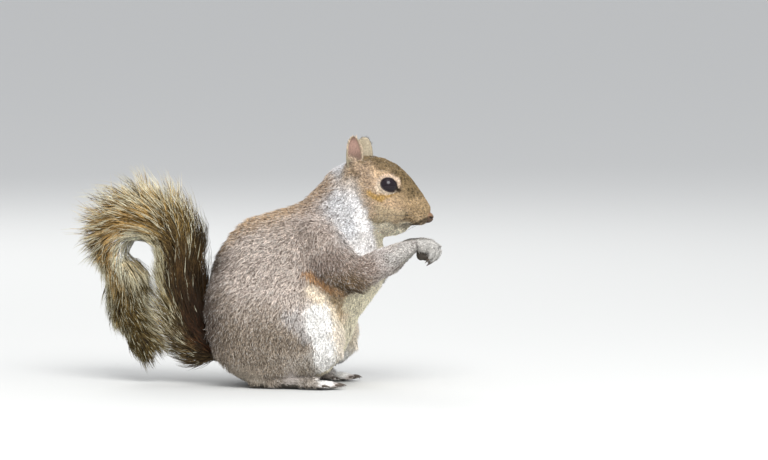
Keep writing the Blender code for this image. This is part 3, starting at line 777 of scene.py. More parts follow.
def tail_at(place):
    """The rows' values at places along the tail (Catmull-Rom), carried straight on past its end."""
    place = np.asarray(place, float)
    inside = np.clip(place, 0, TAIL_END)
    at = np.minimum(inside.astype(int), len(TAIL_ROWS) - 2)
    t = (inside - at)[:, None]
    a, b, c, d = (TAIL_ROWS[np.clip(at + step, 0, len(TAIL_ROWS) - 1)] for step in (-1, 0, 1, 2))
    value = b + 0.5 * t * (c - a + t * (2 * a - 5 * b + 4 * c - d + t * (3 * (b - c) + d - a)))
    beyond = (place - inside)[:, None]
    last = (TAIL_ROWS[-1] - TAIL_ROWS[-2]) * [1, 1, 0, 0, 0]
    return value + beyond * last


def tail_frame(place):
    """Centre, direction along the tail, and direction towards the inside of its bend."""
    place = np.asarray(place, float)
    tiny = 0.02
    value = tail_at(place)
    centre = np.stack([value[:, 0], np.zeros(len(place)), value[:, 1]], 1)
    step = tail_at(place + tiny)[:, :2] - tail_at(place - tiny)[:, :2]
    ahead = unit(np.stack([step[:, 0], np.zeros(len(place)), step[:, 1]], 1))
    inwards = np.cross(ahead, [0.0, 1.0, 0.0])
    return centre, ahead, inwards, value[:, 2:]


def core_radius(place):
    return (4.6 - 3.4 * smoothstep(0, TAIL_END + 1, np.asarray(place, float))) * MM


CORE_SIDES, CORE_STEPS = 16, 130
core_places = np.linspace(0.0, TAIL_END, CORE_STEPS)
centre, ahead, inwards, reach = tail_frame(core_places)
angles = np.linspace(0, math.tau, CORE_SIDES, endpoint=False)
across_tail = np.cos(angles)[None, :, None] * np.array([0.0, 1.0, 0.0])
spokes = across_tail + np.sin(angles)[None, :, None] * inwards[:, None]
core_points = (centre[:, None] + spokes * core_radius(core_places)[:, None, None]).reshape(-1, 3)
core_faces = tube_faces(CORE_STEPS, CORE_SIDES)
print("tail core length:", round(float(np.linalg.norm(np.diff(centre, axis=0), axis=1).sum()) / MM), "mm")

# %% [markdown]
# ## Markings, painted shade and painted light
#
# Skin and coat take their colour from one function, so that a parting in the fur shows nothing odd. The
# table gives the broad colours. Strokes lay the sharper markings over them, as a painter would: each is a
# line in side view with a radius, a soft edge and the colour. Some strokes paint shade instead: under the
# arm by the elbow, in the crease of the flank, at the root of the ear, along the mouth, under the lip and
# over the rump. The grooves between the fingers are darkened as painted shade too, and the chin is made
# paler as painted light from below. A wave of noise bends the edges, because no animal's markings are ruled.

# %% Paint the markings, the shade and the light
STROKES = [
    # colour, strength, radius, soft edge, least and greatest distance from the middle plane, side-view line
    ("russet", 0.65, 3, 9, 0, 16, [(50, 137), (38, 124), (24, 119), (6, 113), (-6, 107), (-18, 97)]),
    ("haunch", 0.6, 4, 9, 16, 60, [(-12, 60), (-8, 40), (4, 22), (20, 14)]),
    ("haunch", 0.5, 5, 10, 16, 60, [(6, 52), (24, 46)]),
    # Painted shade over the rump, at the back of the body.
    ("rump", 0.55, 1.0, 17, 2, 60, [(-20, 84), (-24, 62), (-20, 40)]),
    ("nape", 0.45, 3, 6, 16, 60, [(33, 50), (40, 44), (46, 38)]),
    ("warm_cream", 0.9, 2.6, 4.5, 16, 60, [(44, 66), (52, 60), (60, 53), (66, 46)]),
    ("warm_cream", 0.6, 3.0, 4, 16, 60, [(62, 44), (63, 30), (61, 18)]),
    ("white", 0.97, 4.4, 4.0, 16, 60, [(47, 52), (49.5, 43), (52.5, 34), (54, 21), (53.5, 8)]),
    ("belly_shade", 0.8, 2.0, 4, 20, 60, [(58, 63), (62, 57), (64, 50)]),
    # Painted shade under the arm, by the elbow.
    ("elbow", 0.6, 3.0, 5, 22, 60, [(56, 74), (66, 69), (76, 70)]),
    ("cream", 0.85, 2.6, 2.6, 0, 60, [(67, 56.5), (74, 59), (81, 63.5)]),
    ("fold", 0.95, 1.5, 1.7, 24, 60, [(40.5, 76.8), (48.5, 72.8), (55, 68.4)]),
    ("fold", 0.45, 0.8, 1.8, 24, 60, [(55, 68.4), (63, 63.5)]),
    # Painted shade: a dark line in the crease under the arm.
    ("dark", 0.5, 0.5, 1.3, 24, 60, [(41, 80.6), (50, 76.4), (58.5, 70.4), (66, 65.8), (76, 64.8)]),
    ("side_white", 0.6, 3.4, 3.2, 12, 40, [(75, 116), (78, 110), (81, 104), (84, 99)]),
    ("side_white", 0.4, 2.5, 4.5, 14, 40, [(70, 135), (72, 128), (75, 119)]),
    ("cheek", 0.6, 3, 4, 12, 26, [(80, 143), (79, 133), (82, 122), (88, 114)]),
    ("arm", 0.35, 2.2, 4, 10, 30, [(76, 143), (81, 136), (83, 131)]),
    ("jowl", 0.7, 3, 5, 8, 24, [(89, 108), (94, 104), (98, 103)]),
    ("side_white", 0.95, 3.4, 2.4, 10, 40, [(79.5, 107), (83, 101), (86.5, 95)]),
    ("forehead", 0.95, 2.2, 5, 0, 13, [(110, 130), (103, 139), (95, 146), (84, 151), (76, 152)]),
    ("forehead", 0.5, 1.3, 2.5, 8, 20, [(106, 127), (102, 133), (99, 140)]),
    ("ochre", 0.85, 0.8, 1.5, 12, 30, [(81, 129.5), (84.5, 127.3), (88.5, 125.7), (93, 126), (95.5, 127.4)]),
    ("jowl", 0.5, 2.0, 3, 12, 30, [(88, 118), (95, 115.5), (101, 114)]),
    # The chin's pale fur, with painted light from below under the jaw.
    ("chin", 0.97, 3.0, 3, 0, 13, [(106, 102.5), (100, 101), (92, 100)]),
    ("chin", 0.9, 2.6, 3.5, 5, 24, [(103, 103.2), (96, 104), (88, 105)]),
    # Painted shade at the root of the ear, behind the cheek.
    ("dark", 0.55, 0.8, 1.8, 13, 30, [(68, 148), (69.5, 144), (73, 140)]),
    # Painted shade along the mouth's groove.
    ("dark", 0.6, 0.25, 0.9, 0, 15, [(108, 106.1), (102, 105.9), (97, 107.4), (93, 109.4)]),
    # Painted shade under the upper lip and the nose.
    ("dark", 0.8, 0.9, 0.9, 0, 8, [(118.5, 112), (115, 110), (111.5, 108.2), (107.5, 106.8)]),
    ("hand", 0.7, 3.5, 5, 0, 30, [(104, 91), (97, 86)]),
]


WHISKER_SPOTS = np.array([
    (114.0 - 2.4 * number - 0.4 * row, 4.8 + 1.35 * number - 0.2 * row, 114.6 - 1.9 * row + 0.2 * number)
    for row in range(4) for number in range(5)
]) * MM
RING_CENTRE = np.array([1.1, 0.8]) * MM  # (forward, up) from the eyeball's centre
RING_REACH = np.array([6.9, 6.3]) * MM
EDGE_BEND = 1.1 * MM  # how far noise moves the edge of a stroke
UNSALTED = ("white", "side_white", "cream", "warm_cream", "ochre", "dark", "fold")
FLECK_ZONES = [  # strength, radius, soft edge, side-view line
    (0.85, 3.0, 6.0, [(109, 130), (102, 139), (94, 146), (84, 151), (76, 152)]),
    (0.55, 3.0, 5.0, [(113, 118), (107, 126), (101, 134)]),
    (0.75, 3.0, 3.0, [(112, 111), (104, 108.5)]),
    (0.6, 3.0, 6.0, [(74, 144), (70, 138)]),
]


def laid_over(under, colour, mask):
    """Colours with another colour laid over them as far as the mask says."""
    return under * (1 - mask) + colour * mask


def markings_and_painted_light(points):
    """Colour with its painted shade and light, and the shares of dark and pale hairs, at each point."""
    coat = coat_at(points)
    bent = points + EDGE_BEND * wave_vectors(points, 9 * MM, (11, 12, 13))
    tone, shares = coat["tone"], coat["shares"]
    side_view = bent[:, [0, 2]]
    out = np.abs(points[:, 1])
    for colour, strength, radius, soft, least, greatest, line in STROKES:
        nearest = from_line(side_view, line)
        mask = fade(radius * MM, (radius + soft) * MM, nearest)
        mask = mask * smoothstep((least - 3) * MM, least * MM + 1e-9, out + 0.1 * MM)
        mask = mask * fade(greatest * MM, (greatest + 4) * MM, out)
        mask = (mask * strength)[:, None]
        tone = laid_over(tone, PALETTE[colour], mask)
        if colour in UNSALTED:
            shares = shares * (1 - 0.97 * mask)
    flecks = smoothstep(0.45, 0.75, waves(points, 2.1 * MM, 14) + 0.3 * waves(points, 7 * MM, 15))
    for strength, radius, soft, line in FLECK_ZONES:
        from_zone = from_line(side_view, line)
        zone = strength * fade(radius * MM, (radius + soft) * MM, from_zone)[:, None]
        tone = tone * (1 - 0.75 * zone * flecks[:, None])
        shares = shares * (1 - 0.6 * zone)
    for eye in EYES.values():
        distance, along, across, in_front = eye_angles(points, eye)
        spare = outside_opening(along, across)
        above = smoothstep(-0.3, 0.5, across)[:, None]
        from_ring = points[:, [0, 2]] - eye["centre"][[0, 2]] - RING_CENTRE
        ellipse = np.linalg.norm(from_ring / RING_REACH, axis=1)
        on_side = (points[:, 1] * eye["centre"][1] > 0) & (out > 4 * MM)
        mask = on_side * smoothstep(8.5 * MM, 11 * MM, out) * fade(0.98, 1.14, ellipse)
        mask = mask[:, None]
        tone = laid_over(tone, laid_over(PALETTE["ring_low"], PALETTE["ring"], above), mask)
        shares = shares * (1 - mask)
        tear = in_front * fade(0.06, 0.26, spare) * smoothstep(0.7, 0.95, along)
        tear = tear * (distance < eye["radius"] * 1.5)
        tone = laid_over(tone, PALETTE["dark"], tear[:, None])
    one_side = folded(points)
    for spot in WHISKER_SPOTS:
        from_spot = np.linalg.norm(one_side - spot, axis=1)
        mask = (0.85 * fade(0.35 * MM, 0.75 * MM, from_spot))[:, None]
        tone = laid_over(tone, PALETTE["dark"], mask)
    # Painted shade: the grooves between the fingers are darkened.
    tone = tone * (1 - 0.6 * between_fingers(points, 0.2 * MM, 0.9 * MM)[:, None])
    shares = shares * np.stack([1 - 0.65 * smoothstep(0.5, 0.75, tone.mean(1)), np.ones(len(points))], 1)
    return tone, shares


print("strokes:", len(STROKES))

# %% [markdown]
# ## One skin object
#
# The pieces become one mesh. It carries the markings, with the painted shade and light, as a colour on its
# points, and a second value that says how bare the skin is: inside the ears, on the palms and on the soles.
# Blender's Smart UV Project unwraps it, and the tufts later borrow their places on that unwrap from the skin
# under their roots.

# %% Join and unwrap the skin
PALM_CENTRE, PALM_REACH = np.array([112.0, 83.5]) * MM, np.array([6.8, 6.4]) * MM  # (forward, up)
PIECES = [(body_points, body_faces, np.zeros(len(body_points)), "body")]
for points, normals, faces in fine_skins:
    is_foot = points[:, 2].mean() < 20 * MM
    bare = smoothstep(0.1, 0.7, -normals[:, 2])
    if not is_foot:
        faces_palm = smoothstep(0.0, 0.6, -0.8 * normals[:, 0] - 0.5 * normals[:, 2])
        in_palm = fade(89 * MM, 91 * MM, points[:, 2])
        in_palm = in_palm * fade(117 * MM, 118.5 * MM, points[:, 0])
        hollow = np.linalg.norm((points[:, [0, 2]] - PALM_CENTRE) / PALM_REACH, axis=1)
        bare = np.maximum(faces_palm * in_palm, 1 - smoothstep(0.85, 1.1, hollow))
    PIECES.append((points, faces, bare, "foot" if is_foot else "hand"))
for points, faces, bare in ears:
    PIECES.append((points, faces, bare, "ear"))
PIECES.append((core_points, core_faces, np.zeros(len(core_points)), "core"))

all_points, all_faces, all_bare, all_kinds = [], [], [], []
KINDS = ["body", "foot", "hand", "ear", "core"]
offset = 0
for points, faces, bare, kind in PIECES:
    if volume_inside(points, faces) < 0:
        faces = [face[::-1] for face in faces]
    all_points.append(points)
    all_faces.extend(tuple(corner + offset for corner in face) for face in faces)
    all_bare.append(bare)
    all_kinds.append(np.full(len(points), KINDS.index(kind)))
    offset += len(points)
skin_points = np.concatenate(all_points)
skin_bare = np.concatenate(all_bare)
skin_kind = np.concatenate(all_kinds)
hidden_skin = np.concatenate([hidden, np.zeros(len(skin_points) - len(hidden))])
skin_points[:, 2] = np.maximum(skin_points[:, 2], 0.0)

skin_mesh = bpy.data.meshes.new("skin")
skin_mesh.from_pydata(skin_points.tolist(), [], all_faces)
skin_mesh.shade_smooth()
skin = link_object("skin", skin_mesh)

skin_tone = markings_and_painted_light(skin_points)[0]
is_core = skin_kind == KINDS.index("core")
skin_tone[skin_kind == KINDS.index("ear")] = PALETTE["ear_back"]
skin_tone[is_core] = (0.05, 0.03, 0.015)
bare_colour = PALETTE["pink"] * np.ones((len(skin_points), 3))
is_limb = (skin_kind == KINDS.index("hand")) | (skin_kind == KINDS.index("foot"))
# Painted shade deep in the ear: its bare skin darkens towards the root.
ear_unshaded = smoothstep(148 * MM, 160 * MM, skin_points[:, 2])[:, None]
bare_colour = bare_colour * (0.45 + 0.55 * ear_unshaded)
bare_colour[is_limb] = (0.05, 0.04, 0.03)
shown_tone = laid_over(skin_tone, bare_colour, skin_bare[:, None])


def store(mesh, name, kind, values):
    """Stores one value or colour for each point of a mesh."""
    layer = mesh.attributes.new(name, kind, "POINT")
    if kind == "FLOAT_COLOR":
        values = np.concatenate([values, np.ones((len(values), 1))], 1)
        layer.data.foreach_set("color", values.ravel())
    else:
        layer.data.foreach_set("value", np.asarray(values, float).ravel())


store(skin_mesh, "tone", "FLOAT_COLOR", shown_tone)
store(skin_mesh, "bare", "FLOAT", skin_bare)
bpy.context.view_layer.objects.active = skin
skin.select_set(True)
bpy.ops.object.mode_set(mode="EDIT")
bpy.ops.mesh.select_all(action="SELECT")
bpy.ops.uv.smart_project(angle_limit=math.radians(66), island_margin=0.001)
bpy.ops.object.mode_set(mode="OBJECT")
skin.select_set(False)
skin_mesh.uv_layers[0].name = "OFBake"
print("skin:", len(skin_points), "points,", len(all_faces), "faces")

# %% [markdown]
# ## Hair material
#
# Each hair of an agouti coat is banded: dark at the root, then buff or grey, and black or white at the
# tip. White hairs are white down to the root. Single black and white hairs salt the whole. One node group
# makes those bands from values that every tuft carries: its tone, the way along it from root to tip, and
# how strong its dark band and pale tip are. A fine noise adds flecks. Body hair and tail hair use the same
# group with their own numbers.

# %% The hair band group
def node(tree, kind, **settings):
    made = tree.nodes.new(kind)
    for name, value in settings.items():
        setattr(made, name, value)
    return made


def feed(tree, value, socket):
    """Gives a socket a number, a colour or another node's output."""
    if isinstance(value, (int, float)):
        socket.default_value = value
    elif isinstance(value, tuple):
        socket.default_value = (*value, 1)
    else:
        tree.links.new(value, socket)


def step_between(tree, value, low, high):
    """A smooth step from 0 at low to 1 at high; low and high are numbers or sockets."""
    made = node(tree, "ShaderNodeMapRange", interpolation_type="SMOOTHSTEP")
    for title, given_value in (("Value", value), ("From Min", low), ("From Max", high)):
        feed(tree, given_value, made.inputs[title])
    return made.outputs["Result"]


def sum_of(tree, operation, first, second):
    made = node(tree, "ShaderNodeMath", operation=operation)
    feed(tree, first, made.inputs[0])
    feed(tree, second, made.inputs[1])
    return made.outputs[0]


def scaled(tree, colour, factor):
    made = node(tree, "ShaderNodeVectorMath", operation="SCALE")
    feed(tree, colour, made.inputs[0])
    feed(tree, factor, made.inputs["Scale"])
    return made.outputs[0]


MIX_FACTOR, MIX_FIRST, MIX_SECOND, MIX_RESULT = 0, 6, 7, 2  # sockets of a colour mix, which share names


def mixed(tree, factor, first, second):
    made = node(tree, "ShaderNodeMix", data_type="RGBA")
    for number, value in ((MIX_FACTOR, factor), (MIX_FIRST, first), (MIX_SECOND, second)):
        feed(tree, value, made.inputs[number])
    return made.outputs[MIX_RESULT]


def new_group(name, inputs, outputs):
    group = bpy.data.node_groups.new(name, "ShaderNodeTree")
    for title, kind, value in inputs:
        socket = group.interface.new_socket(title, in_out="INPUT", socket_type=kind)
        socket.default_value = value
    for title, kind in outputs:
        group.interface.new_socket(title, in_out="OUTPUT", socket_type=kind)
    return group, node(group, "NodeGroupInput").outputs, node(group, "NodeGroupOutput").inputs


FLOAT, COLOR = "NodeSocketFloat", "NodeSocketColor"
bands, given, result = new_group(
    "Hair bands",
    [
        ("Tone", COLOR, (0.4, 0.35, 0.3, 1)),
        ("Along", FLOAT, 0.5),
        ("Dark", FLOAT, 0.0),
        ("Pale", FLOAT, 0.0),
        ("Fleck", FLOAT, 0.5),
        ("Root Shade", FLOAT, 0.6),
        ("Dark From", FLOAT, 0.4),
        ("Dark To", FLOAT, 0.8),
        ("Pale From", FLOAT, 0.7),
        ("Dark Colour", COLOR, (0.03, 0.022, 0.014, 1)),
        ("Pale Colour", COLOR, (0.85, 0.82, 0.76, 1)),
    ],
    [("Color", COLOR)],
)
EDGE = 0.1  # how softly one band passes into the next
FLECK_LOW, FLECK_RANGE = 0.68, 0.64  # the flecks' darkest strength, and how far above it they go
lightness = node(bands, "ShaderNodeRGBToBW")
bands.links.new(given["Tone"], lightness.inputs[0])
paleness = sum_of(bands, "MULTIPLY", step_between(bands, lightness.outputs[0], 0.5, 0.85), 0.75)
root_shade = sum_of(bands, "ADD", given["Root Shade"], sum_of(
    bands, "MULTIPLY", paleness, sum_of(bands, "SUBTRACT", 1.0, given["Root Shade"])))


def rise_before(socket):
    """A smooth step along the hair that ends at a socket's value."""
    return step_between(bands, given["Along"], sum_of(bands, "SUBTRACT", socket, EDGE), socket)


shaded = scaled(bands, given["Tone"], root_shade)
lit = mixed(bands, step_between(bands, given["Along"], 0.0, 0.4), shaded, given["Tone"])
fleck_range = sum_of(bands, "MULTIPLY", given["Fleck"], FLECK_RANGE)
flecked = scaled(bands, lit, sum_of(bands, "ADD", fleck_range, FLECK_LOW))
dark_out = step_between(bands, given["Along"], given["Dark To"], sum_of(bands, "ADD", given["Dark To"], EDGE))
dark_band = sum_of(
    bands, "MULTIPLY", rise_before(given["Dark From"]), sum_of(bands, "SUBTRACT", 1.0, dark_out))
lit = mixed(bands, sum_of(bands, "MULTIPLY", dark_band, given["Dark"]), flecked, given["Dark Colour"])
pale_in = rise_before(given["Pale From"])
lit = mixed(bands, sum_of(bands, "MULTIPLY", pale_in, given["Pale"]), lit, given["Pale Colour"])
bands.links.new(lit, result["Color"])
print("hair bands:", len(bands.nodes), "nodes")


# %% Body hair and tail hair
def attribute(tree, name, output):
    made = node(tree, "ShaderNodeAttribute", attribute_name=name)
    return made.outputs[output]


def on_object(tree, kind, **inputs):
    """A texture node read in the object's own coordinates."""
    texture = node(tree, kind)
    for title, value in inputs.items():
        texture.inputs[title].default_value = value
    tree.links.new(node(tree, "ShaderNodeTexCoord").outputs["Object"], texture.inputs["Vector"])
    return texture


def bumped(tree, shader, height, strength, distance):
    """Gives a shader a bump from a height socket."""
    bump = node(tree, "ShaderNodeBump")
    bump.inputs["Strength"].default_value = strength
    bump.inputs["Distance"].default_value = distance
    tree.links.new(height, bump.inputs["Height"])
    tree.links.new(bump.outputs["Normal"], shader.inputs["Normal"])


def hair_material(name, numbers, colours, fleck_size, roughness):
    material = new_material(name)
    tree = material.node_tree
    banded = node(tree, "ShaderNodeGroup", node_tree=bands)
    for title, source, output in (
        ("Tone", "tone", "Color"), ("Along", "along", "Fac"), ("Dark", "dark", "Fac"), ("Pale", "pale", "Fac")
    ):
        tree.links.new(attribute(tree, source, output), banded.inputs[title])
    flecks = on_object(tree, "ShaderNodeTexNoise", Scale=1 / fleck_size, Detail=1.0)
    tree.links.new(step_between(tree, flecks.outputs["Fac"], 0.35, 0.65), banded.inputs["Fleck"])
    for title, value in {**numbers, **colours}.items():
        feed(tree, value, banded.inputs[title])
    shader = shade(material, Roughness=roughness, Specular_IOR_Level=0.12)
    tree.links.new(banded.outputs["Color"], shader.inputs["Base Color"])
    return material


body_hair = hair_material(
    "body hair",
    {"Root Shade": 0.74, "Dark From": 0.50, "Dark To": 0.68, "Pale From": 0.80},
    {"Dark Colour": (0.075, 0.055, 0.04), "Pale Colour": (0.80, 0.76, 0.70)},
    1.1 * MM, 0.65,
)
tail_hair = hair_material(
    "tail hair",
    {"Root Shade": 0.6, "Dark From": 0.40, "Dark To": 0.62, "Pale From": 0.72},
    {"Dark Colour": (0.022, 0.014, 0.007), "Pale Colour": (0.73, 0.69, 0.50)},
    1.6 * MM, 0.6,
)
print("materials:", body_hair.name, tail_hair.name)

# %% [markdown]
# ## Growing tufts
#
# A tuft is a slim closed spike with three sides and one bend: seven points and ten triangles. It leaves
# the skin at an angle and lies down along the coat. Arrays build all tufts of a piece at once, because a
# loop over tens of thousands of objects would take minutes. Each tuft keeps one small patch of the unwrap,
# at the place where its root stands on the skin.

# %% The tuft builder
PATCH = 0.003  # side of a tuft's patch on the unwrap
ROUNDNESS, PALE_FLATTENING = 0.88, 0.6  # how round a tuft is shaded, and how much less a pale one


def tuft_mesh(name, spines, sides_out, faces_up, widths, uv, tone, dark, pale, soft_normals, material):
    """One mesh of closed three-sided tufts. spines is (tuft, level, 3); widths is (tuft, level - 1)."""
    count, levels, _ = spines.shape
    rings = levels - 1
    spread = np.array([-0.5, 0.5, 0.0])
    lift = np.array([0.0, 0.0, 0.5])
    ring_points = (
        spines[:, :rings, None, :]
        + sides_out[:, None, None, :] * (spread[None, None, :, None] * widths[:, :, None, None])
        + faces_up[:, None, None, :] * (lift[None, None, :, None] * widths[:, :, None, None])
    )
    per_tuft = rings * 3 + 1
    points = np.concatenate([ring_points.reshape(count, rings * 3, 3), spines[:, -1:, :]], 1)
    points[:, :, 2] = np.maximum(points[:, :, 2], 0.02 * MM)
    triangles = [(0, 1, 2)]
    for ring in range(rings - 1):
        for corner in range(3):
            beside = (corner + 1) % 3
            a, b = ring * 3 + corner, ring * 3 + beside
            c, d = a + 3, b + 3
            triangles += [(a, d, b), (a, c, d)]
    top = (rings - 1) * 3
    triangles += [(top + (corner + 1) % 3, top + corner, top + 3) for corner in range(3)]
    triangles = np.array(triangles)
    corners = (triangles[None] + (np.arange(count) * per_tuft)[:, None, None]).reshape(-1)

    mesh = bpy.data.meshes.new(name)
    mesh.vertices.add(count * per_tuft)
    mesh.vertices.foreach_set("co", points.ravel())
    mesh.loops.add(len(corners))
    mesh.loops.foreach_set("vertex_index", corners)
    mesh.polygons.add(len(corners) // 3)
    mesh.polygons.foreach_set("loop_start", np.arange(0, len(corners), 3))
    mesh.polygons.foreach_set("use_smooth", np.ones(len(corners) // 3, bool))
    mesh.update(calc_edges=True)

    along = np.concatenate([np.repeat(np.arange(rings) / rings, 3), [1.0]])
    patch_u = np.concatenate([np.tile([0.0, 0.5, 1.0], rings), [0.5]]) * PATCH
    local = np.stack([patch_u, along * PATCH], 1) - PATCH / 2
    point_uv = (uv[:, None, :] + local[None]).reshape(-1, 2)
    layer = mesh.uv_layers.new(name="OFBake")
    layer.data.foreach_set("uv", point_uv[corners].ravel())

    store(mesh, "tone", "FLOAT_COLOR", np.repeat(tone, per_tuft, axis=0))
    store(mesh, "along", "FLOAT", np.tile(along, count))
    store(mesh, "dark", "FLOAT", np.repeat(dark, per_tuft))
    store(mesh, "pale", "FLOAT", np.repeat(pale, per_tuft))
    outward = np.concatenate([
        (sides_out[:, None, :] * spread[None, :, None] * 2 + faces_up[:, None, :] * lift[None, :, None]) * 0.7
        for _ in range(rings)
    ] + [0.7 * unit(spines[:, -1] - spines[:, -2])[:, None]], 1)
    roundness = ROUNDNESS * (1 - PALE_FLATTENING * smoothstep(0.5, 0.8, tone.mean(1)))
    blended = unit((soft_normals[:, None, :] + outward * roundness[:, None, None]).reshape(-1, 3))
    mesh.normals_split_custom_set_from_vertices(blended)
    mesh.materials.append(material)
    return link_object(name, mesh)


print("triangles in a body tuft:", 1 + 6 + 3)

# %% [markdown]
# ## Where the roots stand
#
# Roots are scattered over the skin's triangles, more of them where the hair is short, so that every place
# is covered about equally. The eyes, palms, soles and the insides of the ears stay nearly free.

# %% Scatter the roots
skin_mesh.calc_loop_triangles()
triangle_count = len(skin_mesh.loop_triangles)


def rows_of(items, name, width, kind=float):
    """One property of every item of a mesh, as rows of that width."""
    values = np.zeros(len(items) * width, kind)
    items.foreach_get(name, values)
    return values.reshape(-1, width)


triangle_points = rows_of(skin_mesh.loop_triangles, "vertices", 3, int)
triangle_loops = rows_of(skin_mesh.loop_triangles, "loops", 3, int)
skin_normals = rows_of(skin_mesh.vertices, "normal", 3)
skin_uv = rows_of(skin_mesh.uv_layers["OFBake"].data, "uv", 2)

corner_points = skin_points[triangle_points]
triangle_area = np.linalg.norm(
    np.cross(corner_points[:, 1] - corner_points[:, 0], corner_points[:, 2] - corner_points[:, 0]), axis=1
) / 2
triangle_middle = corner_points.mean(1)
middle_coat = coat_at(triangle_middle)
hair_length = middle_coat["length"]
triangle_kind = skin_kind[triangle_points[:, 0]]
on_ears = triangle_kind == KINDS.index("ear")
hair_length = np.where(on_ears, 1.6 * MM, hair_length)
HAIR_WIDTH_SHORT, HAIR_WIDTH_LONG = 0.25 * MM, 0.45 * MM
COVER = 2.5  # how many tufts lie over each place
PART_COVER = {"head": 0.95, "belly": 0.5, "arm": 0.72, "hand": 0.7, "foot": 0.16, "back": 0.95, "neck": 0.95}
THINNED_BELOW = 2.6 * MM  # hair shorter than this stands less crowded
EAR_CROWDING = 0.5
LID_CLEAR = 1.22  # no roots stand within this many eyeball radii, inside the lid's edge
WRIST = 108.4 * MM  # the forearm's hair covers the wrist, so the hand has no roots behind this


def hair_width(length):
    return HAIR_WIDTH_SHORT + (HAIR_WIDTH_LONG - HAIR_WIDTH_SHORT) * smoothstep(1.5 * MM, 7 * MM, length)


crowding = COVER / (0.5 * hair_length * hair_width(hair_length))
crowding = crowding * np.clip(hair_length / THINNED_BELOW, 0.35, 1)
crowding = crowding * np.array([PART_COVER.get(title, 1.0) for title in COAT_PARTS])[middle_coat["part"]]
crowding[triangle_kind == KINDS.index("core")] = 0
crowding[on_ears] *= EAR_CROWDING
crowding[hidden_skin[triangle_points[:, 0]] > 0.5] = 0
crowding = crowding * (1 - skin_bare[triangle_points].mean(1)) ** 1.5
crowding = crowding * (triangle_middle[:, 2] > 0.4 * MM)
for eye in EYES.values():
    distance, along, across, in_front = eye_angles(triangle_middle, eye)
    spare = outside_opening(along, across)
    crowding[in_front & (spare < 0.08) & (distance < eye["radius"] * LID_CLEAR)] = 0
nose_low, nose_high = (np.array(corner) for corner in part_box("nose"))
hairless, hairless_reach = (nose_low + nose_high) / 2, (nose_high - nose_low) / 2 + 0.3 * MM
hairless[0], hairless_reach[0] = 117.0 * MM, 3.2 * MM
in_nose = (((triangle_middle - hairless) / hairless_reach) ** 2).sum(1) < 1
crowding[in_nose] = 0
crowding[(triangle_kind == KINDS.index("hand")) & (triangle_middle[:, 0] < WRIST)] = 0
expected = crowding * triangle_area * DENSITY
dice = np.random.default_rng(7)
number_here = np.floor(expected + dice.random(triangle_count)).astype(int)
chosen = np.repeat(np.arange(triangle_count), number_here)
first, second = dice.random(len(chosen)), dice.random(len(chosen))
flip = first + second > 1
first[flip], second[flip] = 1 - first[flip], 1 - second[flip]
weights = np.stack([1 - first - second, first, second], 1)[:, :, None]
roots = (skin_points[triangle_points[chosen]] * weights).sum(1)
root_normals = unit((skin_normals[triangle_points[chosen]] * weights).sum(1))
root_uv = (skin_uv[triangle_loops[chosen]] * weights).sum(1)
root_kind = triangle_kind[chosen]
root_bare = (skin_bare[triangle_points[chosen]] * weights[:, :, 0]).sum(1)
print("tufts on the body:", len(roots))

# %% [markdown]
# ## The body's coat
#
# The lie of the coat is the table's direction, laid flat on the skin. Slow waves turn neighbouring tufts
# together, which gathers them into the soft locks of a real coat, and a little dice on each keeps it from
# looking combed. The coat is kept as one piece for each part of the body.

# %% Grow the body's coat
SWING, SWIRL, STRAY = 0.16, 0.24, 0.20  # how much slow waves, quick waves and dice turn a tuft
LENGTH_DICE, LENGTH_WAVES = 0.16, 0.12  # how uneven the length is
SLANT_DICE, SLANT_WAVES = 0.22, 0.18  # how uneven the slant is
TONE_DICE, TONE_FINE, TONE_BROAD = 0.10, 0.07, 0.05  # how uneven the colour is
FOLD_SHORTENING, WRIST_LENGTHENING, RIM_LENGTHENING = 0.45, 0.8, 1.5
EAR_HAIR = 1.5 * MM
WHITE_FLATTENING = 0.3  # white hair lies flattest
LID_SINE = 0.42  # the least slant round the eye, where the skin curves up
ROOT_DEPTH = 0.25  # in millimetres
coat = coat_at(roots)
root_tone, root_shares = markings_and_painted_light(roots)
on_ear = root_kind == KINDS.index("ear")
count = len(roots)

lie = coat["lie"].copy()
ear_up = np.array([0.0, 0.25, 1.0]) * np.where(roots[:, 1:2] > 0, [1, 1, 1], [1, -1, 1])
lie[on_ear] = ear_up[on_ear]
swing = wave_vectors(roots, 14 * MM, (21, 22, 23))
swirl = wave_vectors(roots, 4.5 * MM, (31, 32, 33))
lie = unit(lie) + SWING * swing + SWIRL * swirl + STRAY * dice.normal(size=(count, 3))
lie = unit(lie - root_normals * (lie * root_normals).sum(1)[:, None])

unevenness = 1 + LENGTH_DICE * dice.normal(size=count) + LENGTH_WAVES * waves(roots, 6 * MM, 41)
length = coat["length"] * np.clip(unevenness, 0.5, 1.6)
length *= 1 - FOLD_SHORTENING * near_line(roots, FLANK_FOLD, 5 * MM)
at_wrist = smoothstep(102 * MM, 107 * MM, roots[:, 0]) * (roots[:, 2] > 80 * MM) * (roots[:, 2] < 98 * MM)
at_wrist = at_wrist * (root_kind == KINDS.index("body"))
length *= 1 + WRIST_LENGTHENING * at_wrist
length[on_ear] = EAR_HAIR * (1 + 0.2 * dice.normal(size=on_ear.sum()))
on_rim = on_ear & (root_bare > 0.02) & (root_bare < 0.55)
length[on_rim] *= RIM_LENGTHENING
length *= np.where(root_bare > 0.3, 0.6, 1)
depth = coat["depth"] * np.where(on_ear, 0.2, 1)
depth = depth * (1 - WHITE_FLATTENING * smoothstep(0.5, 0.8, root_tone.mean(1)))
unevenness = 1.0 + SLANT_DICE * dice.normal(size=count) + SLANT_WAVES * waves(roots, 5 * MM, 42)
sine = np.clip(depth / length * unevenness, 0.08, 0.8)
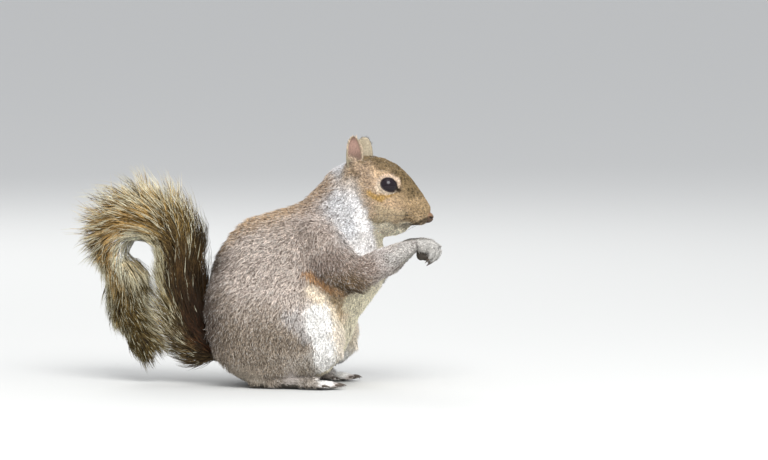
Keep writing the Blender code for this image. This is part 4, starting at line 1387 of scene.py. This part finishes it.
for eye in EYES.values():
    from_eye = np.linalg.norm(roots - eye["centre"], axis=1) / eye["radius"]
    sine = np.maximum(sine, LID_SINE * fade(1.4, 2.1, from_eye))
lift = np.arcsin(sine)
early, late = np.minimum(lift * 1.5, 1.2), lift * 0.55

spines = np.zeros((count, 3, 3))
spines[:, 0] = roots - root_normals * ROOT_DEPTH * MM
for level, slant in ((1, early), (2, late)):
    heading = lie * np.cos(slant)[:, None] + root_normals * np.sin(slant)[:, None]
    spines[:, level] = spines[:, level - 1] + 0.5 * length[:, None] * heading
spines[:, 1:, 2] = np.maximum(spines[:, 1:, 2], 0.15 * MM)
base_width = hair_width(length) * (0.8 + 0.4 * dice.random(count))
widths = np.stack([base_width * 0.8, base_width], 1)
sides_out = unit(np.cross(lie, root_normals))
faces_up = unit(np.cross(sides_out, spines[:, 2] - spines[:, 0]))
faces_up *= np.sign((faces_up * root_normals).sum(1))[:, None]

variety = 1 + TONE_DICE * dice.normal(size=count) + TONE_FINE * waves(roots, 3 * MM, 51)
variety = (variety + TONE_BROAD * waves(roots, 9 * MM, 52))[:, None]
root_tone = np.clip(root_tone * variety, 0, 1)
# Painted shade at the ear's root: the ear's hair darkens there too.
ear_root_shade = fade(149 * MM, 154 * MM, roots[:, 2])[:, None]
root_tone[on_ear] = (PALETTE["ear_back"] * (1 - 0.45 * ear_root_shade) * variety)[on_ear]
root_tone[on_rim] = PALETTE["ring"]
root_shares[on_ear] = (0.08, 0.15)
chance = dice.random(count)
dark = (chance < root_shares[:, 0]) * (0.55 + 0.45 * dice.random(count))
pale = (chance > 1 - root_shares[:, 1]) * (0.4 + 0.5 * dice.random(count))

part = coat["part"].copy()
part[on_ear] = len(COAT_PARTS)
for title in ("hand", "foot"):
    part[root_kind == KINDS.index(title)] = COAT_PARTS.index(title)
coat_pieces = []
SLOTS = {"head": "coat_face", "hand": "coat_pale", "foot": "coat_pale", "ear": "bare_skin"}
MOST_TUFTS = 19500  # a part with more is kept as a left and a right piece
for number, title in enumerate(COAT_PARTS + ["ear"]):
    here = np.flatnonzero(part == number)
    if not len(here):
        continue
    groups = {"": here}
    if len(here) > MOST_TUFTS:
        groups = {"_left": here[roots[here, 1] > 0], "_right": here[roots[here, 1] <= 0]}
    for ending, group in groups.items():
        piece = tuft_mesh(
            "coat_" + title + ending, spines[group], sides_out[group], faces_up[group], widths[group],
            root_uv[group], root_tone[group], dark[group], pale[group], root_normals[group], body_hair,
        )
        coat_pieces.append((piece, SLOTS.get(title, "coat_grey")))
        print(piece.name, len(piece.data.polygons), "triangles")

# %% [markdown]
# ## The brush of the tail
#
# Tail hair is the longest on the animal. It leaves the bony core at a slant towards the tip, bends as it
# goes, and its ends make the brush. On the rising length it lies close along the tail, and on the outside
# of the arch it fans out. Each hair is buff near the skin, then black, then white at the very end, and
# those bands line up into the frosted fringe. Hairs near each other lean together into pointed locks, and
# some locks are paler than others. Each hair here has two bends.

# %% Grow the tail
TAIL_COLOURS = [
    # place along the tail, then for the outside, the flank and the inside of its bend:
    # tone, share of black bands, share of pale tips
    (0, (0.03, 0.010, 0.004, 0.9, 0.0), (0.035, 0.012, 0.005, 0.9, 0.0), (0.05, 0.022, 0.010, 0.8, 0.1)),
    (2, (0.03, 0.012, 0.005, 0.8, 0.0), (0.035, 0.016, 0.006, 0.8, 0.02), (0.24, 0.18, 0.10, 0.4, 0.6)),
    (4, (0.05, 0.032, 0.012, 0.8, 0.15), (0.055, 0.032, 0.011, 0.8, 0.07), (0.30, 0.24, 0.13, 0.35, 0.65)),
    (5.5, (0.21, 0.14, 0.055, 0.5, 0.6), (0.16, 0.10, 0.036, 0.6, 0.15), (0.46, 0.38, 0.26, 0.2, 0.7)),
    (7, (0.33, 0.22, 0.10, 0.45, 0.95), (0.42, 0.255, 0.10, 0.3, 0.2), (0.90, 0.83, 0.73, 0.0, 0.8)),
    (9, (0.32, 0.22, 0.11, 0.45, 1.0), (0.38, 0.235, 0.10, 0.35, 0.3), (0.90, 0.83, 0.73, 0.0, 0.8)),
    (10.2, (0.28, 0.20, 0.10, 0.45, 0.95), (0.24, 0.155, 0.065, 0.45, 0.3), (0.42, 0.34, 0.23, 0.2, 0.5)),
    (11, (0.17, 0.12, 0.05, 0.55, 0.5), (0.10, 0.065, 0.025, 0.7, 0.15), (0.16, 0.115, 0.055, 0.5, 0.35)),
    (15, (0.12, 0.085, 0.035, 0.6, 0.3), (0.08, 0.055, 0.02, 0.75, 0.1), (0.24, 0.18, 0.09, 0.4, 0.5)),
]
TAIL_HAIRS, LOCKS = int(21500 * DENSITY), 1500
TIP_SCATTER, LOCK_SCATTER = 1.3 * MM, 1.8 * MM
LOCK_HOLD, LOCK_SHADES = 0.55, 0.42  # how firmly a lock gathers its hairs, and how its tone varies
CURL, BOW = 0.09, 0.10  # in lengths of the hair
dice = np.random.default_rng(17)
place = 0.4 + (TAIL_END - 0.4) * dice.random(TAIL_HAIRS) ** 0.92
angle = dice.random(TAIL_HAIRS) * math.tau
centre, ahead, inwards, reach = tail_frame(place)
sideways = np.array([0.0, 1.0, 0.0])
spoke = unit(np.cos(angle)[:, None] * sideways + np.sin(angle)[:, None] * inwards)
hair_roots = centre + spoke * core_radius(place)[:, None] * 0.9

inside = np.clip(np.sin(angle), 0, 1)
outside = np.clip(-np.sin(angle), 0, 1)
on_arch = smoothstep(5.0, 7.0, place) * fade(10.0, 11.5, place)
rising = fade(4.5, 6.5, place)
lean = 1.7 - 0.95 * outside * on_arch - 0.5 * inside * rising + 0.45 * dice.normal(size=TAIL_HAIRS)
lean = np.clip(lean, 0.25, 2.6) * (0.75 + 0.25 * smoothstep(0, 3, place))
tip_place = place + lean
tip_centre, _, tip_inwards, tip_reach = tail_frame(tip_place)
wisps = waves(hair_roots + spoke * 6 * MM, 8 * MM, 64)
fullness = 0.42 + 0.60 * dice.random(TAIL_HAIRS) ** 0.6 + 0.15 * wisps * (0.4 + 0.6 * outside)
fullness += (dice.random(TAIL_HAIRS) < 0.10) * (0.08 + 0.14 * outside * on_arch)
fullness = np.clip(fullness, 0.3, 1.22) * (1 - 0.25 * outside * fade(0, 3, place))
closing = fade(58 * MM, 72 * MM, tip_centre[:, 2])
closing = closing * smoothstep(1.5, 3, tip_place)
inside_reach = tip_reach[:, 0] + 9.5 * MM * closing
tip_angle = angle + 0.16 * dice.normal(size=TAIL_HAIRS)
up_reach = np.where(np.sin(tip_angle) > 0, inside_reach, tip_reach[:, 1]) * np.sin(tip_angle)
tips = (
    tip_centre
    + sideways * (tip_reach[:, 2] * np.cos(tip_angle) * fullness)[:, None]
    + tip_inwards * (up_reach * fullness)[:, None]
)
tips = tips + TIP_SCATTER * dice.normal(size=(TAIL_HAIRS, 3))
middles = (hair_roots + tips) / 2
lock_middles = middles[:: max(1, TAIL_HAIRS // LOCKS)]
lock = np.concatenate([
    ((chunk[:, None] - lock_middles[None]) ** 2).sum(2).argmin(1) for chunk in np.array_split(middles, 20)
])
members = np.maximum(np.bincount(lock, minlength=len(lock_middles)), 1)[:, None]
lock_tips = np.stack([np.bincount(lock, tips[:, axis], len(lock_middles)) for axis in range(3)], 1) / members
lock_tips = lock_tips + LOCK_SCATTER * dice.normal(size=lock_tips.shape)
hold = (LOCK_HOLD * dice.random(TAIL_HAIRS) ** 0.5)[:, None]
tips = tips * (1 - hold) + lock_tips[lock] * hold
lock_shade = np.exp(LOCK_SHADES * dice.normal(size=len(lock_middles)))[lock]
run = tips - hair_roots
span = np.linalg.norm(run, axis=1)[:, None]
curl = CURL * span * wave_vectors(hair_roots, 11 * MM, (65, 66, 67))
bulge = spoke * span * BOW + curl
spines = np.stack([
    hair_roots - spoke * 0.4 * MM,
    hair_roots + run * 0.34 + bulge,
    hair_roots + run * 0.68 + bulge * 0.8,
    tips,
], 1)
spines[:, :, 2] = np.maximum(spines[:, :, 2], 0.2 * MM)
hair_width_here = (0.34 + 0.16 * dice.random(TAIL_HAIRS)) * MM
widths = np.stack([hair_width_here * 0.8, hair_width_here, hair_width_here * 0.75], 1)
sides_out = unit(np.cross(run, spoke))
faces_up = unit(np.cross(sides_out, run))
faces_up *= np.where((faces_up * spoke).sum(1) < 0, -1, 1)[:, None]

marks = np.array([row[0] for row in TAIL_COLOURS], float)
columns = [
    np.stack([
        np.interp(place, marks, [row[column][value] for row in TAIL_COLOURS]) for value in range(5)
    ], 1)
    for column in (1, 2, 3)
]
to_outside = smoothstep(0.15, 0.9, outside)[:, None]
beside_tip = smoothstep(10.5, 12, place)
to_inside = smoothstep(0.05 + 0.35 * beside_tip, 0.5 + 0.4 * beside_tip, inside)[:, None]
painted = columns[1] * (1 - to_outside - to_inside) + columns[0] * to_outside + columns[2] * to_inside
# Blue is cut in every tail tone: partly painted warm bounce light from the ground, partly a warmer hair
# colour.
painted[:, 2] *= 0.85
strand_shade = lock_shade * (1 + (0.18 + 0.2 * inside * on_arch) * dice.normal(size=TAIL_HAIRS))
tones = np.clip(painted[:, :3] * strand_shade[:, None], 0.002, 0.95)
dark = (dice.random(TAIL_HAIRS) < painted[:, 3]) * (0.6 + 0.4 * dice.random(TAIL_HAIRS))
pale = (dice.random(TAIL_HAIRS) < painted[:, 4] * (1 + 0.6 * wisps)) * (0.5 + 0.5 * dice.random(TAIL_HAIRS))

core_start = np.flatnonzero(is_core)[0]
core_uv = np.zeros((len(skin_points), 2))
core_uv[triangle_points.ravel()] = skin_uv[triangle_loops.ravel()]
ring_number = np.clip(np.round(place / TAIL_END * (CORE_STEPS - 1)).astype(int), 0, CORE_STEPS - 1)
side_number = np.round(angle / math.tau * CORE_SIDES).astype(int) % CORE_SIDES
hair_uv = core_uv[core_start + ring_number * CORE_SIDES + side_number]
to_side = sideways * (np.sign(np.cos(angle)) * inside)[:, None]
soft = unit(spoke + 0.3 * unit(run) + 0.9 * to_side)

TAIL_PIECES = [  # name, and the stretch of the tail where its roots stand
    ("tail_root", 0, 3.5), ("tail_rise", 3.5, 5.6), ("tail_arch", 5.6, 8.5), ("tail_turn", 8.5, 11),
    ("tail_tip", 11, 99),
]
for title, start, end in TAIL_PIECES:
    group = np.flatnonzero((place >= start) & (place < end))
    piece = tuft_mesh(
        "brush_" + title, spines[group], sides_out[group], faces_up[group], widths[group], hair_uv[group],
        tones[group], dark[group], pale[group], soft[group], tail_hair,
    )
    coat_pieces.append((piece, "brush"))
    print(piece.name, len(piece.data.polygons), "triangles")

# %% [markdown]
# ## Skin material
#
# Where the skin shows, in the ears, on the palms and between hairs, it is matt and finely creased. Where
# hair covers it, it takes the coat's colour, a little darker, with a bump of fine combed streaks.

# %% Skin material
skin_finish = new_material("skin")
tree = skin_finish.node_tree
streaks = on_object(tree, "ShaderNodeTexNoise", Scale=1400, Detail=4)
speckle = step_between(tree, streaks.outputs["Fac"], 0.3, 0.7)
strength = sum_of(tree, "ADD", sum_of(tree, "MULTIPLY", speckle, 0.35), 0.65)
shader = shade(skin_finish, Roughness=0.6, Specular_IOR_Level=0.3)
tree.links.new(scaled(tree, attribute(tree, "tone", "Color"), strength), shader.inputs["Base Color"])
bumped(tree, shader, streaks.outputs["Fac"], 0.5, 0.0003)
skin_mesh.materials.append(skin_finish)
print("skin material:", len(tree.nodes), "nodes")

# %% [markdown]
# ## Eyes
#
# The eye is almost all dark: a brown-black iris that fills the opening, under a clear wet surface. A
# smooth ball with a very dark brown front and a sharp gloss is enough, because the lids hide its edge.

# %% Eyes
eye_finish = new_material("eye")
shade(eye_finish, Base_Color=(0.009, 0.004, 0.007, 1), Roughness=0.14, Specular_IOR_Level=0.33)
for side, eye in EYES.items():
    ball = bmesh.new()
    bmesh.ops.create_uvsphere(ball, u_segments=48, v_segments=32, radius=eye["radius"])
    bmesh.ops.translate(ball, vec=Vector(eye["centre"]), verts=ball.verts)
    mesh = mesh_from("eyeball_" + side, ball)
    mesh.shade_smooth()
    mesh.materials.append(eye_finish)
    eyeball = link_object("eyeball_" + side, mesh)
    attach(eyeball, "root")
    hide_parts("eye_" + side)
print("eyes:", len(EYES))

# %% [markdown]
# ## Lid rims, claws and whiskers
#
# These three are alike to build: each is a thin round strand that follows a path and gets thinner towards
# its end. Geometry Nodes make them all from one tree. It takes a mesh of plain edges, turns it into curves,
# sweeps a small circle along them, scaled by a value stored on the points, and sets the material.

# %% The strand tree
strand_tree = bpy.data.node_groups.new("Tapered strands", "GeometryNodeTree")
for title, kind, way in (
    ("Geometry", "NodeSocketGeometry", "INPUT"),
    ("Sides", "NodeSocketInt", "INPUT"),
    ("Material", "NodeSocketMaterial", "INPUT"),
    ("Geometry", "NodeSocketGeometry", "OUTPUT"),
):
    strand_tree.interface.new_socket(title, in_out=way, socket_type=kind)
entry, leave = node(strand_tree, "NodeGroupInput"), node(strand_tree, "NodeGroupOutput")
to_curve = node(strand_tree, "GeometryNodeMeshToCurve")
thickness = node(strand_tree, "GeometryNodeInputNamedAttribute", data_type="FLOAT")
thickness.inputs["Name"].default_value = "thickness"
circle = node(strand_tree, "GeometryNodeCurvePrimitiveCircle")
circle.inputs["Radius"].default_value = 1.0
sweep = node(strand_tree, "GeometryNodeCurveToMesh")
sweep.inputs["Fill Caps"].default_value = True
rounded = node(strand_tree, "GeometryNodeSetShadeSmooth")
real = node(strand_tree, "GeometryNodeRealizeInstances")
paint = node(strand_tree, "GeometryNodeSetMaterial")
for giver, output, taker, socket in (
    (entry, "Geometry", to_curve, "Mesh"),
    (entry, "Sides", circle, "Resolution"),
    (to_curve, "Curve", sweep, "Curve"),
    (circle, "Curve", sweep, "Profile Curve"),
    (thickness, "Attribute", sweep, "Scale"),
    (sweep, "Mesh", rounded, "Geometry"),
    (rounded, "Geometry", real, "Geometry"),
    (real, "Geometry", paint, "Geometry"),
    (entry, "Material", paint, "Material"),
    (paint, "Geometry", leave, "Geometry"),
):
    strand_tree.links.new(giver.outputs[output], taker.inputs[socket])


def strands(name, paths, sides, material, closed=False):
    """A piece of strands. Each path is a list of (point, radius) in metres."""
    points, edges, radii = [], [], []
    for path in paths:
        start = len(points)
        points += [tuple(point) for point, radius in path]
        radii += [radius for point, radius in path]
        edges += [(start + step, start + step + 1) for step in range(len(path) - 1)]
        if closed:
            edges.append((start + len(path) - 1, start))
    mesh = bpy.data.meshes.new(name + "_paths")
    mesh.from_pydata(points, edges, [])
    store(mesh, "thickness", "FLOAT", radii)
    source = link_object(name + "_paths", mesh)
    modifier = source.modifiers.new("strands", "NODES")
    modifier.node_group = strand_tree
    entries = [item for item in strand_tree.interface.items_tree if item.in_out == "INPUT"]
    names = {item.name: item.identifier for item in entries}
    modifier[names["Sides"]] = sides
    modifier[names["Material"]] = material
    graph = bpy.context.evaluated_depsgraph_get()
    solid = bpy.data.meshes.new_from_object(source.evaluated_get(graph))
    solid.name = name
    bpy.data.objects.remove(source)
    shape = bmesh.new()
    shape.from_mesh(solid)
    bmesh.ops.recalc_face_normals(shape, faces=shape.faces)
    shape.to_mesh(solid)
    shape.free()
    made = link_object(name, solid)
    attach(made, "root")
    print(name, len(solid.polygons), "faces")


def curve_through(start, heading, bend, length, steps):
    """Points on an arc that leaves start along heading and bends steadily by the vector bend."""
    start, heading, bend = Vector(start), Vector(heading).normalized(), Vector(bend)
    points = []
    for step in range(steps + 1):
        share = step / steps
        points.append(start + heading * (length * share) + bend * (length * share * share / 2))
    return points


# %% Lid rims
rim_finish = new_material("lid rim")
shade(rim_finish, Base_Color=(0.03, 0.018, 0.014, 1), Roughness=0.35)
RIM = 0.42 * MM
rims = []
for eye in EYES.values():
    path = []
    for step in range(64):
        turn = math.tau * step / 64
        along = np.array([(EYE_OPEN_FRONT if math.cos(turn) > 0 else EYE_OPEN_BACK) * math.cos(turn) * 0.999])
        high, low = lid_angle(along)
        across = float(high[0] if math.sin(turn) > 0 else -low[0])
        angle = float(along[0])
        direction = np.array([
            math.sin(angle) * math.cos(across), math.sin(across), math.cos(angle) * math.cos(across)
        ])
        point = eye["centre"] + direction @ eye["axes"] * (eye["radius"] + 0.05 * MM)
        path.append((point, RIM))
    rims.append(path)
strands("lid_rims", rims, 8, rim_finish, closed=True)

# %% [markdown]
# ## Claws
#
# Each finger and toe ends in a curved claw of dark horn. It starts inside the tip of the digit and bends
# down. The hand's digits point down and back, and the foot's point forward.

# %% Claws
horn = new_material("claw horn")
shade(horn, Base_Color=(0.07, 0.05, 0.035, 1), Roughness=0.35)
FINGER_TIPS = [(10.0, 3.6, 9.5), (7.8, 5.8, 11.5), (5.4, 6.2, 11.5), (3.2, 4.4, 9.0)]  # out, reach, drop
FINGER_ROOT = (117.05, 94.5)
TOE_TIPS = [  # forward, out, up
    (50, 22.5, 2.2), (61, 25.8, 2.4), (63.5, 31.2, 2.5), (62, 36.6, 2.5), (54, 41.2, 2.3),
]
CLAW_STEPS = 8


def tapered(arc, thickness):
    """A claw's path: its points, each with a radius that falls to a blunt tip."""
    return [
        (point, thickness * (1 - (step / CLAW_STEPS) ** 1.5) + 0.05 * MM) for step, point in enumerate(arc)
    ]


claws = []
for hand in SIDES.values():
    for out, reach_forward, drop in FINGER_TIPS:
        start = Vector((FINGER_ROOT[0] + reach_forward * 0.3, hand * out, FINGER_ROOT[1] - drop)) * MM
        arc = curve_through(start, (-0.45, 0, -0.89), (-0.6, 0, 0.1), 3.6 * MM, CLAW_STEPS)
        claws.append(tapered(arc, 0.75 * MM))
    for x, out, z in TOE_TIPS:
        start = Vector((x - 1.5, hand * out, z + 0.5)) * MM
        arc = curve_through(start, (0.95, 0.08 * hand, 0.3), (0, 0, -0.75), 5.6 * MM, CLAW_STEPS)
        claws.append(tapered(arc, 0.85 * MM))
strands("claws", claws, 8, horn)

# %% [markdown]
# ## Whiskers
#
# Stiff dark hairs spring in rows from each whisker pad and sweep out and back. They are few and very thin.

# %% Whiskers
whisker_finish = new_material("whisker")
shade(whisker_finish, Base_Color=(0.03, 0.025, 0.02, 1), Roughness=0.4)
WHISKER_ROWS, WHISKERS_IN_ROW, WHISKER_STEPS = 4, 4, 12
whiskers = []
dice = np.random.default_rng(27)
for hand in SIDES.values():
    for row in range(WHISKER_ROWS):
        for number in range(WHISKERS_IN_ROW):
            start = (
                (112.5 - 2.6 * number - 0.4 * row) * MM,
                hand * (5.6 + 1.3 * number - 0.25 * row) * MM,
                (114.0 - 1.9 * row + 0.2 * number) * MM,
            )
            heading = (0.1 - 0.35 * number / 3 + 0.1 * dice.normal(), hand * 0.9, 0.30 - 0.16 * row)
            bend = (-0.8 - 0.2 * dice.random(), 0, -0.14)
            reach = (16 + 6 * number + 3 * dice.random()) * MM
            arc = curve_through(start, heading, bend, reach, WHISKER_STEPS)
            whiskers.append([
                (point, 0.11 * MM * (1 - step / (WHISKER_STEPS + 1))) for step, point in enumerate(arc)
            ])
strands("whiskers", whiskers, 5, whisker_finish)

# %% [markdown]
# ## Nose
#
# The nose is a small bare pad with two comma-shaped nostrils and a groove down its middle. It starts as a
# ball the size of the solid's nose, and the nostrils and groove are pressed into it. Painted shade darkens
# the nostrils, the groove and the underside of the pad.

# %% Nose pad
NOSE_CENTRE = np.array([116.0, 0.0, 111.7]) * MM
NOSE_RADII = np.array([3.8, 4.1, 3.9]) * MM
ball = bmesh.new()
bmesh.ops.create_uvsphere(ball, u_segments=72, v_segments=48, radius=1)
mesh = mesh_from("nose_pad", ball)
points = rows_of(mesh.vertices, "co", 3)
press = np.zeros(len(points))
NOSTRIL, NOSTRIL_TAIL = np.array([0.86, 0.42, -0.22]), np.array([0.52, 0.85, 0.05])
one_side = folded(points)
for t in np.linspace(0, 1, 8):
    spot = unit(((1 - t) * NOSTRIL + t * NOSTRIL_TAIL)[None])[0]
    size = 0.34 - 0.17 * t
    from_spot = np.linalg.norm(one_side - spot, axis=1)
    press = np.maximum(press, 0.4 * fade(0.3 * size, size, from_spot))
groove = 0.14 * fade(0.02, 0.16, one_side[:, 1]) * (points[:, 2] < 0.3) * (points[:, 0] > 0)
below = fade(-0.35, 0.3, points[:, 2] - 0.25 * points[:, 0])
# Painted shade: the nostrils, the groove and the pad's underside take the dark colour.
nose_shade = np.maximum(smoothstep(0.05, 0.25, press), 0.75 * below)
nose_shade = np.maximum(nose_shade, smoothstep(0.03, 0.12, groove))
narrow = 1 - 0.22 * below
points = points * (1 - np.maximum(press, groove))[:, None]
points[:, 1] *= narrow
points[:, 0] -= 0.26 * np.maximum(points[:, 2], 0) ** 1.5
points = points * NOSE_RADII + NOSE_CENTRE
mesh.vertices.foreach_set("co", points.ravel())
mesh.update()
mesh.shade_smooth()
store(mesh, "nose_shade", "FLOAT", nose_shade)
nose_finish = new_material("nose skin")
tree = nose_finish.node_tree
# The second colour is painted shade, for the nostrils, the groove and the pad's underside.
NOSE_SKIN, NOSE_SHADE = (0.19, 0.105, 0.05), (0.028, 0.016, 0.010)
pebbles = on_object(tree, "ShaderNodeTexVoronoi", Scale=2600)
shader = shade(nose_finish, Roughness=0.42, Specular_IOR_Level=0.5)
nose_colour = mixed(tree, attribute(tree, "nose_shade", "Fac"), NOSE_SKIN, NOSE_SHADE)
tree.links.new(nose_colour, shader.inputs["Base Color"])
bumped(tree, shader, pebbles.outputs["Distance"], 0.4, 0.00012)
mesh.materials.append(nose_finish)
nose = link_object("nose_pad", mesh)
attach(nose, "root")
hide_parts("nose")
print("nose pad:", len(mesh.polygons), "faces")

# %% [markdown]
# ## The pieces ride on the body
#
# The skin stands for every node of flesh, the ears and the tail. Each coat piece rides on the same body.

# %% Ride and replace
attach(skin, "root")
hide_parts(*FLESH, "hand_left", "hand_right", "foot_left", "foot_right", "ear_left", "ear_right",
            "tail_root", "tail_rise", "tail_arch", "tail_turn", "tail_tip")
for piece, slot in coat_pieces:
    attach(piece, "root")
total = sum(len(piece.data.polygons) for piece, slot in coat_pieces)
print("coat triangles:", total)
